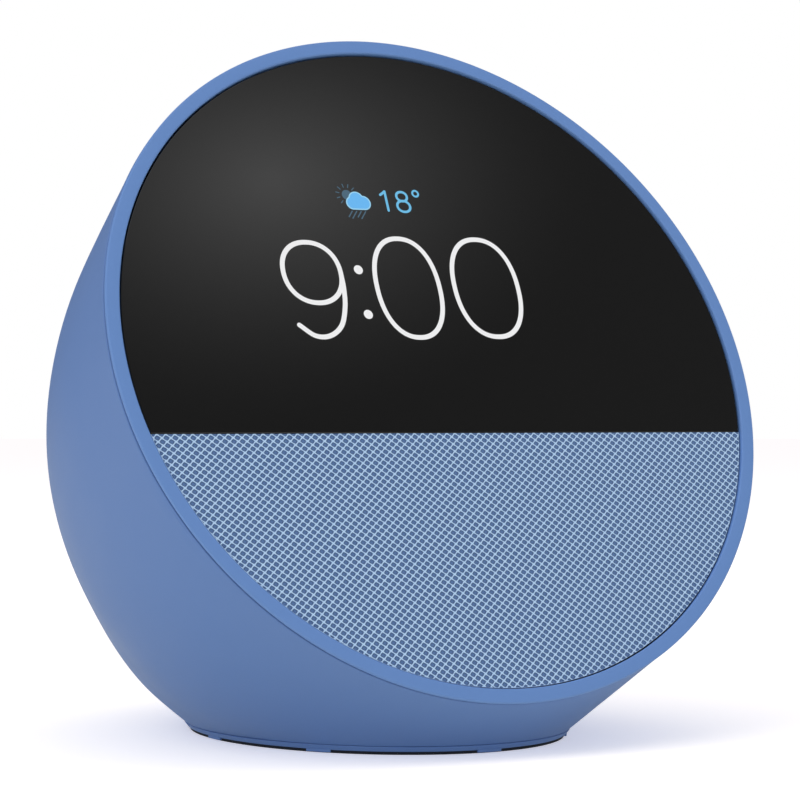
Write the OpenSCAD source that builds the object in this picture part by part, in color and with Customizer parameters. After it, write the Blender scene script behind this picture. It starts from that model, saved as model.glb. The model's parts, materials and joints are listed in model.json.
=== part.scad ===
// Desk smart display: a round tilted face with a clear half-round lens over a fabric
// speaker grille, set in a rounded shell that stands on a low round base.
// +Z is up, the face looks along -Y, and the origin is under the middle of the object.

/* [Face] */
// Outer diameter of the face ring
rim_d = 113; // [110:0.5:116]
// Width of the flat front of the face ring
rim_w = 2.3; // [1.8:0.1:3]
// Lean of the face back from upright, in degrees
face_lean = 24.3; // [20:0.1:28]
// Height of the face centre above the table
face_z = 60; // [58:0.5:62]
// How far below the face centre the lens meets the fabric
split_v = 12.75; // [11:0.25:15]
// How far the lens and the fabric are set back behind the ring
face_recess = 0.5; // [0.3:0.1:1]

/* [Body] */
// Dip of the axis that the rounded rear is turned about, in degrees
body_dip = 36; // [34:0.5:38]
// Wall thickness of the rear shell
wall = 2; // [1.6:0.1:2.4]
// Gap between the face ring and the rear shell
parting = 0.35; // [0.25:0.05:0.4]

/* [Base] */
// Distance of the base centre behind the face centre
base_back = 22.8; // [22.4:0.1:23.4]
// Half of the width of the base
base_half_w = 29.4; // [29:0.1:29.8]
// Half of the depth of the base
base_half_d = 36; // [35.5:0.1:36.5]
// Height of the rubber foot
foot_h = 0.5; // [0.4:0.05:0.6]
// How far the rubber foot is set in from the edge of the base
foot_inset = 0.9; // [0.7:0.1:1.4]
// Radius of the ballast weight
ballast_r = 18; // [14:0.5:18.5]
// Height of the ballast weight
ballast_h = 14; // [6:0.5:15]

/* [Screen] */
// Width of the display module
lcd_w = 60; // [58:1:61]
// Height of the display module
lcd_h = 45; // [43:1:46]
// Height of the screen centre above the face centre
lcd_v = 18.5; // [17:0.5:19]

/* [Speaker] */
// Outer radius of the driver
driver_r = 21.5; // [21:0.5:22]
// How far below the face centre the driver sits
driver_v = 31; // [30:0.5:32]
// Travel of the cone each way
cone_travel = 1.2; // [0.8:0.1:1.4]

/* [Keys] */
// Radius of a key cap
key_r = 5; // [4.5:0.1:5.5]
// Angle between neighbouring keys about the body axis
key_pitch = 18; // [16:1:20]
// Place of the keys along the body axis
key_s = 8; // [7:0.5:10]
// Travel of a key
key_travel = 0.5; // [0.3:0.1:0.6]

/* [Hidden] */
$fn = 64;
rim_r = rim_d / 2;
ring_in = rim_r - rim_w;
pane_r = ring_in - 0.3;
ring_h = 0.5;
shell_front = -(ring_h + parting);
body_drop = 0.25;
crease_z = 1.4;
belly_cut = 5;
plate_inset = 3;
lip_taper = 0.5;
lip_steps = 3;
tab_w = 4.2;
plate_top = crease_z + wall;
belly_r = 63.6;
belly_back = 22;
belly_z = face_z - 2.5;

// Outline of the rounded rear as [radius, distance along the body axis] from the face centre
PROFILE = [[56.4, 6], [55.6, 24], [51.5, 40.7], [43.2, 55.6], [32.8, 70.3], [19.3, 82.2], [0, 86.2]];
PROFILE_STEPS = 3;
function catmull(a, b, c, d, t) =
    0.5 * (2 * b + (c - a) * t + (2 * a - 5 * b + 4 * c - d) * t * t
           + (3 * b - 3 * c + d - a) * t * t * t);
function knot(i) = i < 0 ? 2 * PROFILE[0] - PROFILE[1]
    : i >= len(PROFILE) ? [-PROFILE[len(PROFILE) - 2][0], PROFILE[len(PROFILE) - 2][1]]
    : PROFILE[i];
SMOOTH = [for (i = [0 : len(PROFILE) - 2], k = [0 : PROFILE_STEPS - 1])
    catmull(knot(i - 1), knot(i), knot(i + 1), knot(i + 2), k / PROFILE_STEPS)];
function rear_point(t) = catmull(knot(3), knot(4), knot(5), knot(6), t);
back_reach = max([for (p = SMOOTH) p[1] * cos(body_dip) + (p[0] - body_drop) * sin(body_dip)]);
face_y = (rim_r * sin(face_lean) - back_reach) / 2;
base_y = face_y + base_back;

// Stack behind the face, as distances along the outward normal of the face
lens_t = 1.1;
lens_back = -face_recess - lens_t;
seat = -2.3;
fabric_t = 0.5;
grille_front = -face_recess - fabric_t;
floor_top = -3;
floor_back = -4.6;
skirt_h = 4.2;
driver_hole_r = 19.3;
lcd_front = lens_back - 0.2;
lcd_back = -4.7;
bracket_t = 0.8;
board_w = 82;
board_h = 34;
board_v = 13;
board_front = -16;
board_t = 1.2;
post_u = 38;
post_v = 13;
driver_z = -5.4;
ear_at = 24;
screw_r = 1.1;

// Key stack, as distances from the body axis
key_top = 56.1;
key_flange = 52.9;
key_foot = key_flange - 3;
flex_r = 46.6;
switch_base = flex_r + 0.05;
switch_h = 1.6;
jack_at = rear_point(0.8);
jack_beside = rear_point(0.85);
jack_tilt = atan2(jack_beside[1] - jack_at[1], jack_at[0] - jack_beside[0]);
jack_sink = 1.1;
jack_r = 7;
bracket_angle = 33;
KEY_ANGLES = [-key_pitch, 0, key_pitch];
MIC_ANGLES = [-key_pitch / 2, key_pitch / 2];
BOSS_ANGLES = [45, 135, 225, 315];
boss_at = 50.6;
boss_h = 5.5;
BASE_SCREWS = [[0, -29], [21, 13], [-21, 13]];
TAB_ANGLES = [0 : 45 : 315];

// ---- Frames ----

module at_face() {
    translate([0, face_y, face_z])
        rotate([90 - face_lean, 0, 0])
            children();
}

module at_body() {
    translate([0, face_y, face_z])
        rotate([-90 - body_dip, 0, 0])
            translate([0, body_drop, 0])
                children();
}

// +Z points out through the top of the shell, at a height of 0 on the body axis
module at_key(angle) {
    at_body()
        rotate([0, 0, angle])
            translate([0, 0, key_s])
                rotate([90, 0, 0])
                    children();
}

module at_driver() {
    at_face()
        translate([0, -driver_v, driver_z])
            children();
}

// +Z points out of the socket, just inside the surface of the shell
module at_jack() {
    at_body()
        translate([0, -jack_at[0], jack_at[1]])
            rotate([jack_tilt, 0, 0])
                translate([0, 0, -jack_sink])
                    children();
}

module at_base() {
    translate([0, base_y, 0])
        children();
}

// ---- Shapes used more than once ----

module tube(r_out, r_in, h) {
    difference() {
        cylinder(r = r_out, h = h);
        translate([0, 0, -1])
            cylinder(r = r_in, h = h + 2);
    }
}

module arc_band(r_in, r_out, length, span) {
    rotate([0, 0, 270 - span / 2])
        rotate_extrude(angle = span)
            translate([r_in, -length / 2])
                square([r_out - r_in, length]);
}

// The oval of the base, drawn in by the inset all round
module base_oval(inset) {
    points = 96;
    a = base_half_w - inset;
    b = base_half_d - inset;
    polygon([for (k = [0 : points - 1]) [a * cos(360 * k / points), b * sin(360 * k / points)]]);
}

module body_form(front_r, front_z, inset, foot_z) {
    hull() {
        at_face()
            translate([0, 0, front_z - 0.4])
                cylinder(r = front_r, h = 0.4, $fn = 96);
        intersection() {
            at_body()
                rotate_extrude($fn = 48)
                    polygon(concat([[0, SMOOTH[0][1]]],
                        [for (p = SMOOTH) [p[0] - inset, p[1] - inset * p[1] / 86]],
                        [[0, PROFILE[len(PROFILE) - 1][1] - inset]]));
            translate([0, face_y + belly_back, belly_z])
                sphere(r = belly_r - inset, $fn = 60);
            translate([-80, -80, belly_cut + inset])
                cube(160);
            at_face()
                translate([-80, -80, front_z - 160])
                    cube(160);
        }
        translate([0, base_y, foot_z])
            linear_extrude(0.3)
                base_oval(inset);
    }
}

// The part of a disc above or below the line where the lens meets the fabric
module face_segment(r, above, gap) {
    intersection() {
        circle(r = r);
        translate([-r, above ? gap - split_v : -gap - split_v - 2 * r])
            square(2 * r);
    }
}

// A pan-head screw whose head rests on z = 0 and whose shank runs down
module screw(length, head_r = 1.9, head_h = 1.1) {
    cylinder(r = head_r, h = head_h);
    translate([0, 0, -length])
        cylinder(r = screw_r - 0.1, h = length + head_h / 2);
}

// A round wire swept along a smooth route, with eight sides
module wire(route, d) {
    sides = 8;
    steps = 3;
    n = len(route);
    at = function(i) route[min(max(i, 0), n - 1)];
    path = concat([for (i = [0 : n - 2], k = [0 : steps - 1])
        catmull(at(i - 1), at(i), at(i + 1), at(i + 2), k / steps)], [route[n - 1]]);
    m = len(path);
    dir = function(i)
        let (v = path[min(i + 1, m - 1)] - path[max(i - 1, 0)]) v / norm(v);
    ref = [0.31, 0.17, 0.94];
    rings = [for (i = [0 : m - 1])
        let (t = dir(i), a = cross(t, ref), x = a / norm(a), y = cross(t, x))
            for (k = [0 : sides - 1])
                path[i] + d / 2 * (cos(360 * k / sides) * x + sin(360 * k / sides) * y)];
    skin = [for (i = [0 : m - 2], k = [0 : sides - 1], half = [0, 1])
        let (a = i * sides + k, b = i * sides + (k + 1) % sides)
            half == 0 ? [a, a + sides, b + sides] : [a, b + sides, b]];
    ends = [[for (k = [0 : sides - 1]) k], [for (k = [sides - 1 : -1 : 0]) (m - 1) * sides + k]];
    polyhedron(points = rings, faces = concat(skin, ends));
}

// A flat ribbon along a route in the local YZ plane
module ribbon(route, width, thick) {
    translate([-width / 2, 0, 0])
        rotate([90, 0, 90])
            linear_extrude(width)
                polygon(concat(route, [for (i = [len(route) - 1 : -1 : 0]) route[i] + [thick, 0]]));
}

// ---- Housing ----

module rear_shell() {
    color("cornflowerblue")
        difference() {
            union() {
                difference() {
                    body_form(rim_r, shell_front, 0, crease_z);
                    body_form(rim_r - 1.5, shell_front + 2, wall, plate_top);
                }
                at_face()
                    for (a = BOSS_ANGLES)
                        rotate([0, 0, a])
                            translate([boss_at, 0, -14]) {
                                cylinder(r = 2.6, h = 9.2);
                                translate([1, -1, 0])
                                    cube([a < 180 ? 2.8 : 5, 2, 9.2]);
                            }
                at_base()
                    for (p = BASE_SCREWS)
                        translate([p[0], p[1], plate_top + 0.1]) {
                            cylinder(r = 2.4, h = boss_h);
                            rotate([0, 0, atan2(p[1], p[0])])
                                translate([0, -1, 0])
                                    cube([7, 2, boss_h]);
                        }
                for (s = [-1, 1])
                    at_key(s * bracket_angle)
                        translate([0, 0, flex_r - 0.2])
                            cylinder(r = 2.4, h = 8.4);
            }
            at_base()
                linear_extrude(plate_top + 0.05)
                    base_oval(plate_inset - 0.1);
            for (a = KEY_ANGLES)
                at_key(a)
                    translate([0, 0, 50])
                        cylinder(r = key_r + 0.3, h = 10);
            for (a = MIC_ANGLES)
                at_key(a)
                    translate([0, 0, 50])
                        cylinder(r = 0.6, h = 10);
            for (s = [-1, 1])
                at_key(s * bracket_angle)
                    translate([0, 0, flex_r - 1])
                        cylinder(r = screw_r - 0.1, h = 5);
            at_face()
                for (a = BOSS_ANGLES)
                    rotate([0, 0, a])
                        translate([boss_at, 0, -12])
                            cylinder(r = screw_r - 0.1, h = 9);
            at_face()
                translate([0, 0, floor_back - 0.05])
                    cylinder(r = ring_in + 0.9, h = 6);
            at_jack()
                translate([0, 0, -12])
                    cylinder(r = jack_r + 0.2, h = 20);
            at_base()
                for (p = BASE_SCREWS)
                    translate([p[0], p[1], 0])
                        cylinder(r = screw_r - 0.1, h = plate_top + boss_h - 0.5);
        }
}

module bezel_ring() {
    color("royalblue")
        at_face()
            rotate_extrude()
                polygon([[ring_in, -skirt_h], [ring_in, -0.25], [ring_in + 0.25, 0],
                    [rim_r - 0.2, 0], [rim_r, -0.2], [rim_r, -ring_h], [ring_in + 0.7, -ring_h],
                    [ring_in + 0.7, -skirt_h]]);
}

// ---- Front frame, screen and grille ----

module front_frame() {
    floor_t = floor_top - floor_back;
    color("dimgray")
        at_face() {
            difference() {
                union() {
                    translate([0, 0, floor_back])
                        cylinder(r = pane_r, h = floor_t);
                    translate([0, 0, floor_back])
                        tube(pane_r, pane_r - 1.6, seat - floor_back);
                    translate([-pane_r + 2, -split_v - 1.2, floor_back])
                        cube([2 * pane_r - 4, 2.4, seat - floor_back]);
                    for (u = [-1, 1], v = [-1, 1])
                        translate([u * post_u, board_v + v * post_v, board_front])
                            cylinder(r = 2.2, h = floor_back - board_front + 0.5);
                }
                translate([-lcd_w / 2 - 1, lcd_v - lcd_h / 2 - 1, floor_back - 1])
                    cube([lcd_w + 2, lcd_h + 2, 6]);
                translate([0, -driver_v, floor_back - 1])
                    cylinder(r = driver_hole_r, h = 6);
                for (a = BOSS_ANGLES)
                    rotate([0, 0, a])
                        translate([boss_at, 0, floor_back - 1])
                            cylinder(r = screw_r + 0.1, h = 4);
                for (u = [-1, 1], v = [-1, 1])
                    translate([u * post_u, board_v + v * post_v, board_front - 1])
                        cylinder(r = screw_r - 0.1, h = 8);
                for (s = [-1, 1])
                    translate([s * ear_at, -driver_v, floor_back - 1])
                        cylinder(r = screw_r - 0.1, h = 4);
            }
        }
}

module display_lens() {
    color([0.05, 0.05, 0.06])
        at_face()
            translate([0, 0, lens_back])
                linear_extrude(lens_t)
                    face_segment(pane_r, true, 0.05);
}

module lens_tape() {
    color("black")
        at_face()
            translate([0, 0, seat])
                linear_extrude(lens_back - seat)
                    difference() {
                        face_segment(pane_r - 0.2, true, 0.05);
                        face_segment(pane_r - 3.2, true, 3);
                        translate([-lcd_w / 2 - 0.3, lcd_v - lcd_h / 2 - 0.3])
                            square([lcd_w + 0.6, lcd_h + 0.6]);
                    }
}

module touch_film() {
    color("slategray")
        at_face()
            translate([-lcd_w / 2, lcd_v - lcd_h / 2, lens_back - 0.2])
                cube([lcd_w, lcd_h, 0.2]);
}

module lcd_module() {
    color([0.1, 0.12, 0.16])
        at_face()
            translate([-lcd_w / 2, lcd_v - lcd_h / 2, lcd_back])
                cube([lcd_w, lcd_h, lcd_front - lcd_back]);
}

module lcd_bracket() {
    edge = 2;
    back = lcd_back - bracket_t;
    color("silver")
        at_face()
            difference() {
                translate([-lcd_w / 2 - edge, lcd_v - lcd_h / 2 - edge, back])
                    cube([lcd_w + 2 * edge, lcd_h + 2 * edge, bracket_t]);
                for (u = [-1, 1], v = [-1, 1])
                    translate([u * 16, lcd_v + v * 12, back - 1])
                        cylinder(r = 6, h = 3);
            }
}

module light_sensor() {
    color("darkgreen")
        at_face()
            translate([-2, 47.6, lens_back - 0.65])
                cube([4, 2.6, 0.6]);
}

module grille_frame() {
    pitch = 3.4;
    hole_r = 1.25;
    color("midnightblue")
        at_face()
            translate([0, 0, seat + 0.05])
                linear_extrude(grille_front - seat - 0.1)
                    difference() {
                        face_segment(pane_r, false, 0.3);
                        for (i = [-6 : 6], j = [-5 : 5])
                            let (u = (i + (abs(j) % 2) / 2) * pitch, v = j * pitch * 0.87)
                                if (norm([u, v]) < 17)
                                    translate([u, v - driver_v - 1])
                                        circle(r = hole_r);
                    }
}

module speaker_fabric() {
    color("lightsteelblue")
        at_face()
            translate([0, 0, grille_front])
                linear_extrude(fabric_t)
                    face_segment(pane_r, false, 0.05);
}

// ---- Loudspeaker ----

module speaker_gasket() {
    color("black")
        at_driver()
            tube(driver_r - 0.3, driver_hole_r, floor_back - driver_z);
}

module speaker_basket() {
    color("gray")
        at_driver()
            difference() {
                union() {
                    rotate_extrude()
                        polygon([[18.6, -1], [19.5, -1], [12.2, -9.8], [8.5, -9.8], [8.5, -11],
                            [13.6, -11], [21, -1.4], [driver_r, -1.4], [driver_r, 0], [18.6, 0]]);
                    for (s = [-1, 1]) {
                        translate([s * ear_at, 0, -1.4])
                            cylinder(r = 2.8, h = 1.4);
                        translate([s * 21.8 - 2, -2.8, -1.4])
                            cube([4, 5.6, 1.4]);
                    }
                    translate([12, -3, -10.9])
                        cube([5, 6, 1]);
                }
                for (a = [0, 90, 180, 270])
                    rotate([0, 0, a + 45])
                        translate([11, -5, -8.6])
                            cube([9, 10, 6]);
                for (s = [-1, 1])
                    translate([s * ear_at, 0, -3])
                        cylinder(r = screw_r + 0.1, h = 4);
            }
}

module speaker_top_plate() {
    color("silver")
        at_driver()
            translate([0, 0, -13])
                tube(14, 6.95, 2);
}

module speaker_magnet() {
    color("dimgray")
        at_driver()
            translate([0, 0, -18])
                tube(15.5, 7.6, 5);
}

module speaker_yoke() {
    color("silver")
        at_driver() {
            translate([0, 0, -20.5])
                cylinder(r = 15.5, h = 2.5);
            translate([0, 0, -18.5])
                cylinder(r = 5.9, h = 7.5);
        }
}

module voice_coil() {
    coil_h = 6.6 + 2 * cone_travel;
    color("peru")
        at_driver()
            translate([0, 0, -5 - coil_h])
                tube(6.65, 6.25, coil_h);
}

module speaker_cone() {
    color([0.15, 0.15, 0.16])
        at_driver()
            rotate_extrude()
                polygon([[6.65, -5.8], [6.65, -5], [15.2, -0.5], [16.4, -0.5], [16.4, -1], [15.4, -1],
                    [7.4, -5.8]]);
}

module dust_cap() {
    cap = [for (i = [0 : 6]) [6.2 * cos(15 * i), -4.95 + 2.4 * sin(15 * i)]];
    inner = [for (i = [6 : -1 : 0]) [5.7 * cos(15 * i), -4.95 + 1.9 * sin(15 * i)]];
    color([0.2, 0.2, 0.21])
        at_driver()
            rotate_extrude()
                polygon(concat(cap, inner));
}

module speaker_surround() {
    roll = [for (i = [0 : 8]) [17.75 + 1.25 * cos(22.5 * i), 0.05 + 1.25 * sin(22.5 * i)]];
    under = [for (i = [8 : -1 : 0]) [17.75 + 0.85 * cos(22.5 * i), 0.05 + 0.85 * sin(22.5 * i)]];
    color("black")
        at_driver()
            rotate_extrude()
                polygon(concat(roll, [[16.5, -0.4], [16.9, -0.4]], under, [[18.6, 0]]));
}

module speaker_spider() {
    crest = [for (i = [0 : 10]) [6.75 + 0.53 * i, -8.4 + (i % 2 == 0 ? 0 : 0.6)]];
    trough = [for (i = [10 : -1 : 0]) crest[i] - [0, 0.35]];
    color("goldenrod")
        at_driver()
            rotate_extrude()
                polygon(concat(crest, trough));
}

module speaker_screws() {
    color("silver")
        at_driver()
            for (s = [-1, 1])
                translate([s * ear_at, 0, -1.4])
                    rotate([180, 0, 0])
                        screw(2.8);
}

// ---- Electronics ----

module main_board() {
    color("darkgreen")
        at_face()
            difference() {
                translate([-board_w / 2, board_v - board_h / 2, board_front - board_t])
                    cube([board_w, board_h, board_t]);
                for (u = [-1, 1], v = [-1, 1])
                    translate([u * post_u, board_v + v * post_v, board_front - board_t - 1])
                        cylinder(r = screw_r + 0.1, h = board_t + 2);
            }
}

module shield_cans() {
    color("silver")
        at_face()
            translate([0, board_v, board_front - board_t - 2]) {
                translate([-28, -11, 0])
                    cube([26, 22, 2]);
                translate([6, -8, 0])
                    cube([18, 16, 2]);
            }
}

module heat_spreader() {
    color("lightgray")
        at_face()
            translate([-30, board_v - 13, board_front - board_t - 3.2]) {
                cube([56, 26, 1.1]);
                for (i = [0 : 6])
                    translate([3 + 8 * i, 0, -4])
                        cube([1, 26, 4.2]);
            }
}

module board_connectors() {
    color("ivory")
        at_face() {
            translate([-9, board_v - board_h / 2 + 1, board_front])
                cube([18, 4, 1.6]);
            translate([28, board_v - 6, board_front - board_t - 3])
                cube([6, 8, 3]);
            translate([28, board_v + 5, board_front - board_t - 3])
                cube([6, 6, 3]);
            translate([-36, board_v - 4, board_front - board_t - 2])
                cube([4, 8, 2]);
        }
}

module board_screws() {
    color("silver")
        at_face()
            for (u = [-1, 1], v = [-1, 1])
                translate([u * post_u, board_v + v * post_v, board_front - board_t])
                    rotate([180, 0, 0])
                        screw(5);
}

module frame_screws() {
    color("silver")
        at_face()
            for (a = BOSS_ANGLES)
                rotate([0, 0, a])
                    translate([boss_at, 0, floor_top])
                        screw(7.5, 1.2, 0.6);
}

// ---- Keys and microphones ----

module key(angle) {
    at_key(angle) {
        translate([0, 0, key_flange - 1.2])
            cylinder(r = key_r + 1.1, h = 1.2);
        rotate_extrude()
            polygon([[0, key_flange - 0.5], [key_r, key_flange - 0.5], [key_r, key_top - 0.4],
                [key_r - 0.4, key_top], [0, key_top]]);
        translate([0, 0, key_foot])
            cylinder(r = 1.6, h = 2);
    }
}

// Sign raised on a key cap: a bar, or a cross of two bars
module key_sign(angle, bars) {
    at_key(angle)
        for (i = [0 : bars - 1])
            rotate([0, 0, 90 * i])
                translate([-1.7, -0.25, key_top - 0.1])
                    cube([3.4, 0.5, 0.25]);
}

module key_volume_down() {
    color("royalblue") {
        key(KEY_ANGLES[0]);
        key_sign(KEY_ANGLES[0], 1);
    }
}

module key_microphone() {
    color("royalblue") {
        key(KEY_ANGLES[1]);
        at_key(KEY_ANGLES[1])
            translate([0, 0, key_top - 0.1])
                tube(1.7, 1.2, 0.25);
    }
}

module key_volume_up() {
    color("royalblue") {
        key(KEY_ANGLES[2]);
        key_sign(KEY_ANGLES[2], 2);
    }
}

module key_bracket() {
    color("dimgray")
        difference() {
            at_body()
                translate([0, 0, key_s])
                    arc_band(flex_r - 2.2, flex_r - 0.3, 15, 76);
            for (s = [-1, 1])
                at_key(s * bracket_angle)
                    translate([0, 0, flex_r - 4])
                        cylinder(r = screw_r + 0.1, h = 6);
        }
}

module key_flex() {
    color("orange")
        at_body()
            translate([0, 0, key_s])
                arc_band(flex_r - 0.3, flex_r, 11, 50);
}

module key_switches() {
    side = 5.2;
    top = switch_base + switch_h;
    color("silver")
        for (a = KEY_ANGLES)
            at_key(a) {
                translate([-side / 2, -side / 2, switch_base])
                    cube([side, side, switch_h]);
                translate([0, 0, top - 0.1])
                    cylinder(r = 1.4, h = key_foot - key_travel - 0.35 - top + 0.1);
            }
}

module microphones() {
    color("gold")
        for (a = MIC_ANGLES)
            at_key(a)
                translate([-1.6, -1.2, switch_base])
                    cube([3.2, 2.4, 0.9]);
}

module microphone_boots() {
    color("black")
        for (a = MIC_ANGLES)
            at_key(a)
                translate([0, 0, flex_r + 1])
                    tube(1.5, 0.6, 6.1);
}

module bracket_screws() {
    color("silver")
        for (s = [-1, 1])
            at_key(s * bracket_angle)
                translate([0, 0, flex_r - 2.25])
                    rotate([180, 0, 0])
                        screw(5.5);
}

// ---- Power inlet ----

module jack_bezel() {
    color("royalblue")
        at_jack()
            translate([0, 0, -5.5])
                difference() {
                    cylinder(r = jack_r, h = 5.9);
                    translate([0, 0, 1.2])
                        cylinder(r = 5.2, h = 6);
                    translate([0, 0, -1])
                        cylinder(r = 2.8, h = 4);
                }
}

module dc_jack() {
    color([0.1, 0.1, 0.1])
        at_jack()
            difference() {
                union() {
                    translate([-4.5, -4.5, -17])
                        cube([9, 9, 11.4]);
                    translate([0, 0, -6])
                        cylinder(r = 2.7, h = 1.6);
                }
                translate([0, 0, -15])
                    cylinder(r = 2.05, h = 12);
            }
}

module jack_pin() {
    color("gold")
        at_jack()
            translate([0, 0, -15.5])
                cylinder(r = 0.8, h = 10);
}

module jack_board() {
    color("darkgreen")
        at_jack()
            translate([-8, -7, -18.3])
                cube([16, 14, 1.2]);
}

// ---- Wires and ribbons ----

DC_ROUTE = [[3, 29, 35], [4, 24, 37], [12, 19, 42], [24, 14, 50], [33, 8, 60], [33, 3.8, 67],
    [31, 0.2, 69.8]];
SPEAKER_ROUTE = [[16, -24.4, 24.8], [22, -17, 28], [29, -10, 38], [34, -8, 50], [33, -5.2, 56.6],
    [31, -3.9, 60.8]];
ANTENNA_ROUTE = [[45.5, 4, 66.5], [43.5, 0, 66.2], [41, -3.2, 65.8], [38.6, -5, 65.4]];

module dc_lead() {
    color("black")
        wire(DC_ROUTE, 2.6);
}

module speaker_leads() {
    color("firebrick")
        wire(SPEAKER_ROUTE, 1.4);
}

module display_flex() {
    route = [[-5, -5.6], [-6.2, -8], [-6, -12], [-3.6, board_front + 1.65]];
    color("orange")
        at_face()
            ribbon(route, 16, 0.3);
}

module wifi_antennas() {
    color("gold")
        for (s = [-1, 1])
            at_body()
                rotate([0, 0, s * 62])
                    translate([0, 0, 16])
                        arc_band(52.2, 52.5, 16, 16);
}

module antenna_leads() {
    color("gray") {
        wire(ANTENNA_ROUTE, 1.1);
        wire([for (p = ANTENNA_ROUTE) [-p[0], p[1], p[2]]], 1.1);
    }
}

// ---- Base ----

module base_plate() {
    lip_h = crease_z - 0.04 - foot_h;
    color("cornflowerblue")
        at_base()
            difference() {
                union() {
                    for (i = [0 : lip_steps - 1])
                        translate([0, 0, foot_h + lip_h * i / lip_steps])
                            linear_extrude(lip_h * (lip_steps - i) / lip_steps)
                                base_oval(lip_taper * (1 - i / (lip_steps - 1)));
                    translate([0, 0, foot_h])
                        linear_extrude(plate_top - foot_h)
                            base_oval(plate_inset);
                    translate([0, 0, 0.15])
                        linear_extrude(foot_h)
                            intersection() {
                                difference() {
                                    base_oval(lip_taper);
                                    base_oval(foot_inset - 0.1);
                                }
                                for (a = TAB_ANGLES)
                                    rotate(a)
                                        translate([0, -tab_w / 2])
                                            square([base_half_d + 5, tab_w]);
                            }
                }
                for (p = BASE_SCREWS)
                    translate([p[0], p[1], 0]) {
                        cylinder(r = screw_r + 0.1, h = plate_top + 1);
                        translate([0, 0, foot_h - 0.1])
                            cylinder(r1 = 2.2, r2 = 1, h = 1.2);
                    }
            }
}

module base_screws() {
    color("silver")
        at_base()
            for (p = BASE_SCREWS)
                translate([p[0], p[1], foot_h + 0.05]) {
                    cylinder(r1 = 1.9, r2 = 0.9, h = 1);
                    cylinder(r = screw_r - 0.15, h = 7.5);
                }
}

module ballast_weight() {
    color("slategray")
        translate([0, base_y + 9.5, plate_top + 0.1])
            tube(ballast_r, 2, ballast_h);
}

module foot_pad() {
    color([0.12, 0.13, 0.16])
        at_base()
            linear_extrude(foot_h)
                base_oval(foot_inset);
}

rear_shell();
bezel_ring();
front_frame();
display_lens();
lens_tape();
touch_film();
lcd_module();
lcd_bracket();
light_sensor();
grille_frame();
speaker_fabric();
speaker_gasket();
speaker_basket();
speaker_top_plate();
speaker_magnet();
speaker_yoke();
voice_coil();
speaker_cone();
dust_cap();
speaker_surround();
speaker_spider();
speaker_screws();
main_board();
shield_cans();
heat_spreader();
board_connectors();
board_screws();
frame_screws();
key_volume_down();
key_microphone();
key_volume_up();
key_bracket();
key_flex();
key_switches();
microphones();
microphone_boots();
bracket_screws();
jack_bezel();
dc_jack();
jack_pin();
jack_board();
dc_lead();
speaker_leads();
display_flex();
wifi_antennas();
antenna_leads();
base_plate();
base_screws();
ballast_weight();
foot_pad();
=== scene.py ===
"""Looks of the desk smart display: a round tilted face with a black lens over a knitted
speaker grille, set in a rounded blue shell that stands on a low oval foot.

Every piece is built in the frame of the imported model, in metres, with +Z up and the face
looking along -Y.
"""

import json
import logging
import math
from dataclasses import dataclass, field
from enum import Enum
from typing import Callable, Iterable, Sequence

import bmesh
import bpy
from bmesh.types import BMesh, BMEdge, BMVert
from mathutils import Matrix, Vector
from mathutils.bvhtree import BVHTree


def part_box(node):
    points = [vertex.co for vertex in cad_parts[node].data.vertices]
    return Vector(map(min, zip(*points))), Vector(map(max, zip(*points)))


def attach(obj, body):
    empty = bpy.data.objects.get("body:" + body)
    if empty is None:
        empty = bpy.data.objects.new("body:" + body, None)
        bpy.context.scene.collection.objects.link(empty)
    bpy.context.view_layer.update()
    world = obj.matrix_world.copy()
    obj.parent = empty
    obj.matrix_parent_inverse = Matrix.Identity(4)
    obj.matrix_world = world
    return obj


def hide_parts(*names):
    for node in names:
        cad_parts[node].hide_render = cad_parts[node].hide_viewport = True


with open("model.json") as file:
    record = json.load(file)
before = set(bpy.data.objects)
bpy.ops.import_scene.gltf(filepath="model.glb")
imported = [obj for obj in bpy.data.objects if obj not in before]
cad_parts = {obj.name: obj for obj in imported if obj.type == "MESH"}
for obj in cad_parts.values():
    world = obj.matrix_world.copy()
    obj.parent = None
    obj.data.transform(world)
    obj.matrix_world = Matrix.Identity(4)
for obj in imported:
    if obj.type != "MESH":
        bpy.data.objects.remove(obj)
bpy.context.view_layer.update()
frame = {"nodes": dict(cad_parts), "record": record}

log = logging.getLogger("smart_display")

MM = 0.001
HOUSING = "housing"

Point = tuple[float, float]
Colour = tuple[float, float, float]


# ---------------------------------------------------------------- places


@dataclass(frozen=True)
class FaceFrame:
    """The plane of the display face: u runs right, v up the face and n out of it."""

    centre: Vector
    lean: float = math.radians(24.3)

    def matrix(self) -> Matrix:
        """Return the matrix from (u, v, n) to the row frame."""
        return Matrix.Translation(self.centre) @ Matrix.Rotation(math.pi / 2 - self.lean, 4, "X")

    def place(self, u: float, v: float, n: float) -> Vector:
        """Return the point at (u, v, n) in the row frame."""
        return self.matrix() @ Vector((u, v, n))

    def normal(self) -> Vector:
        """Return the outward normal of the face."""
        return Vector((0.0, -math.cos(self.lean), math.sin(self.lean)))


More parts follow.
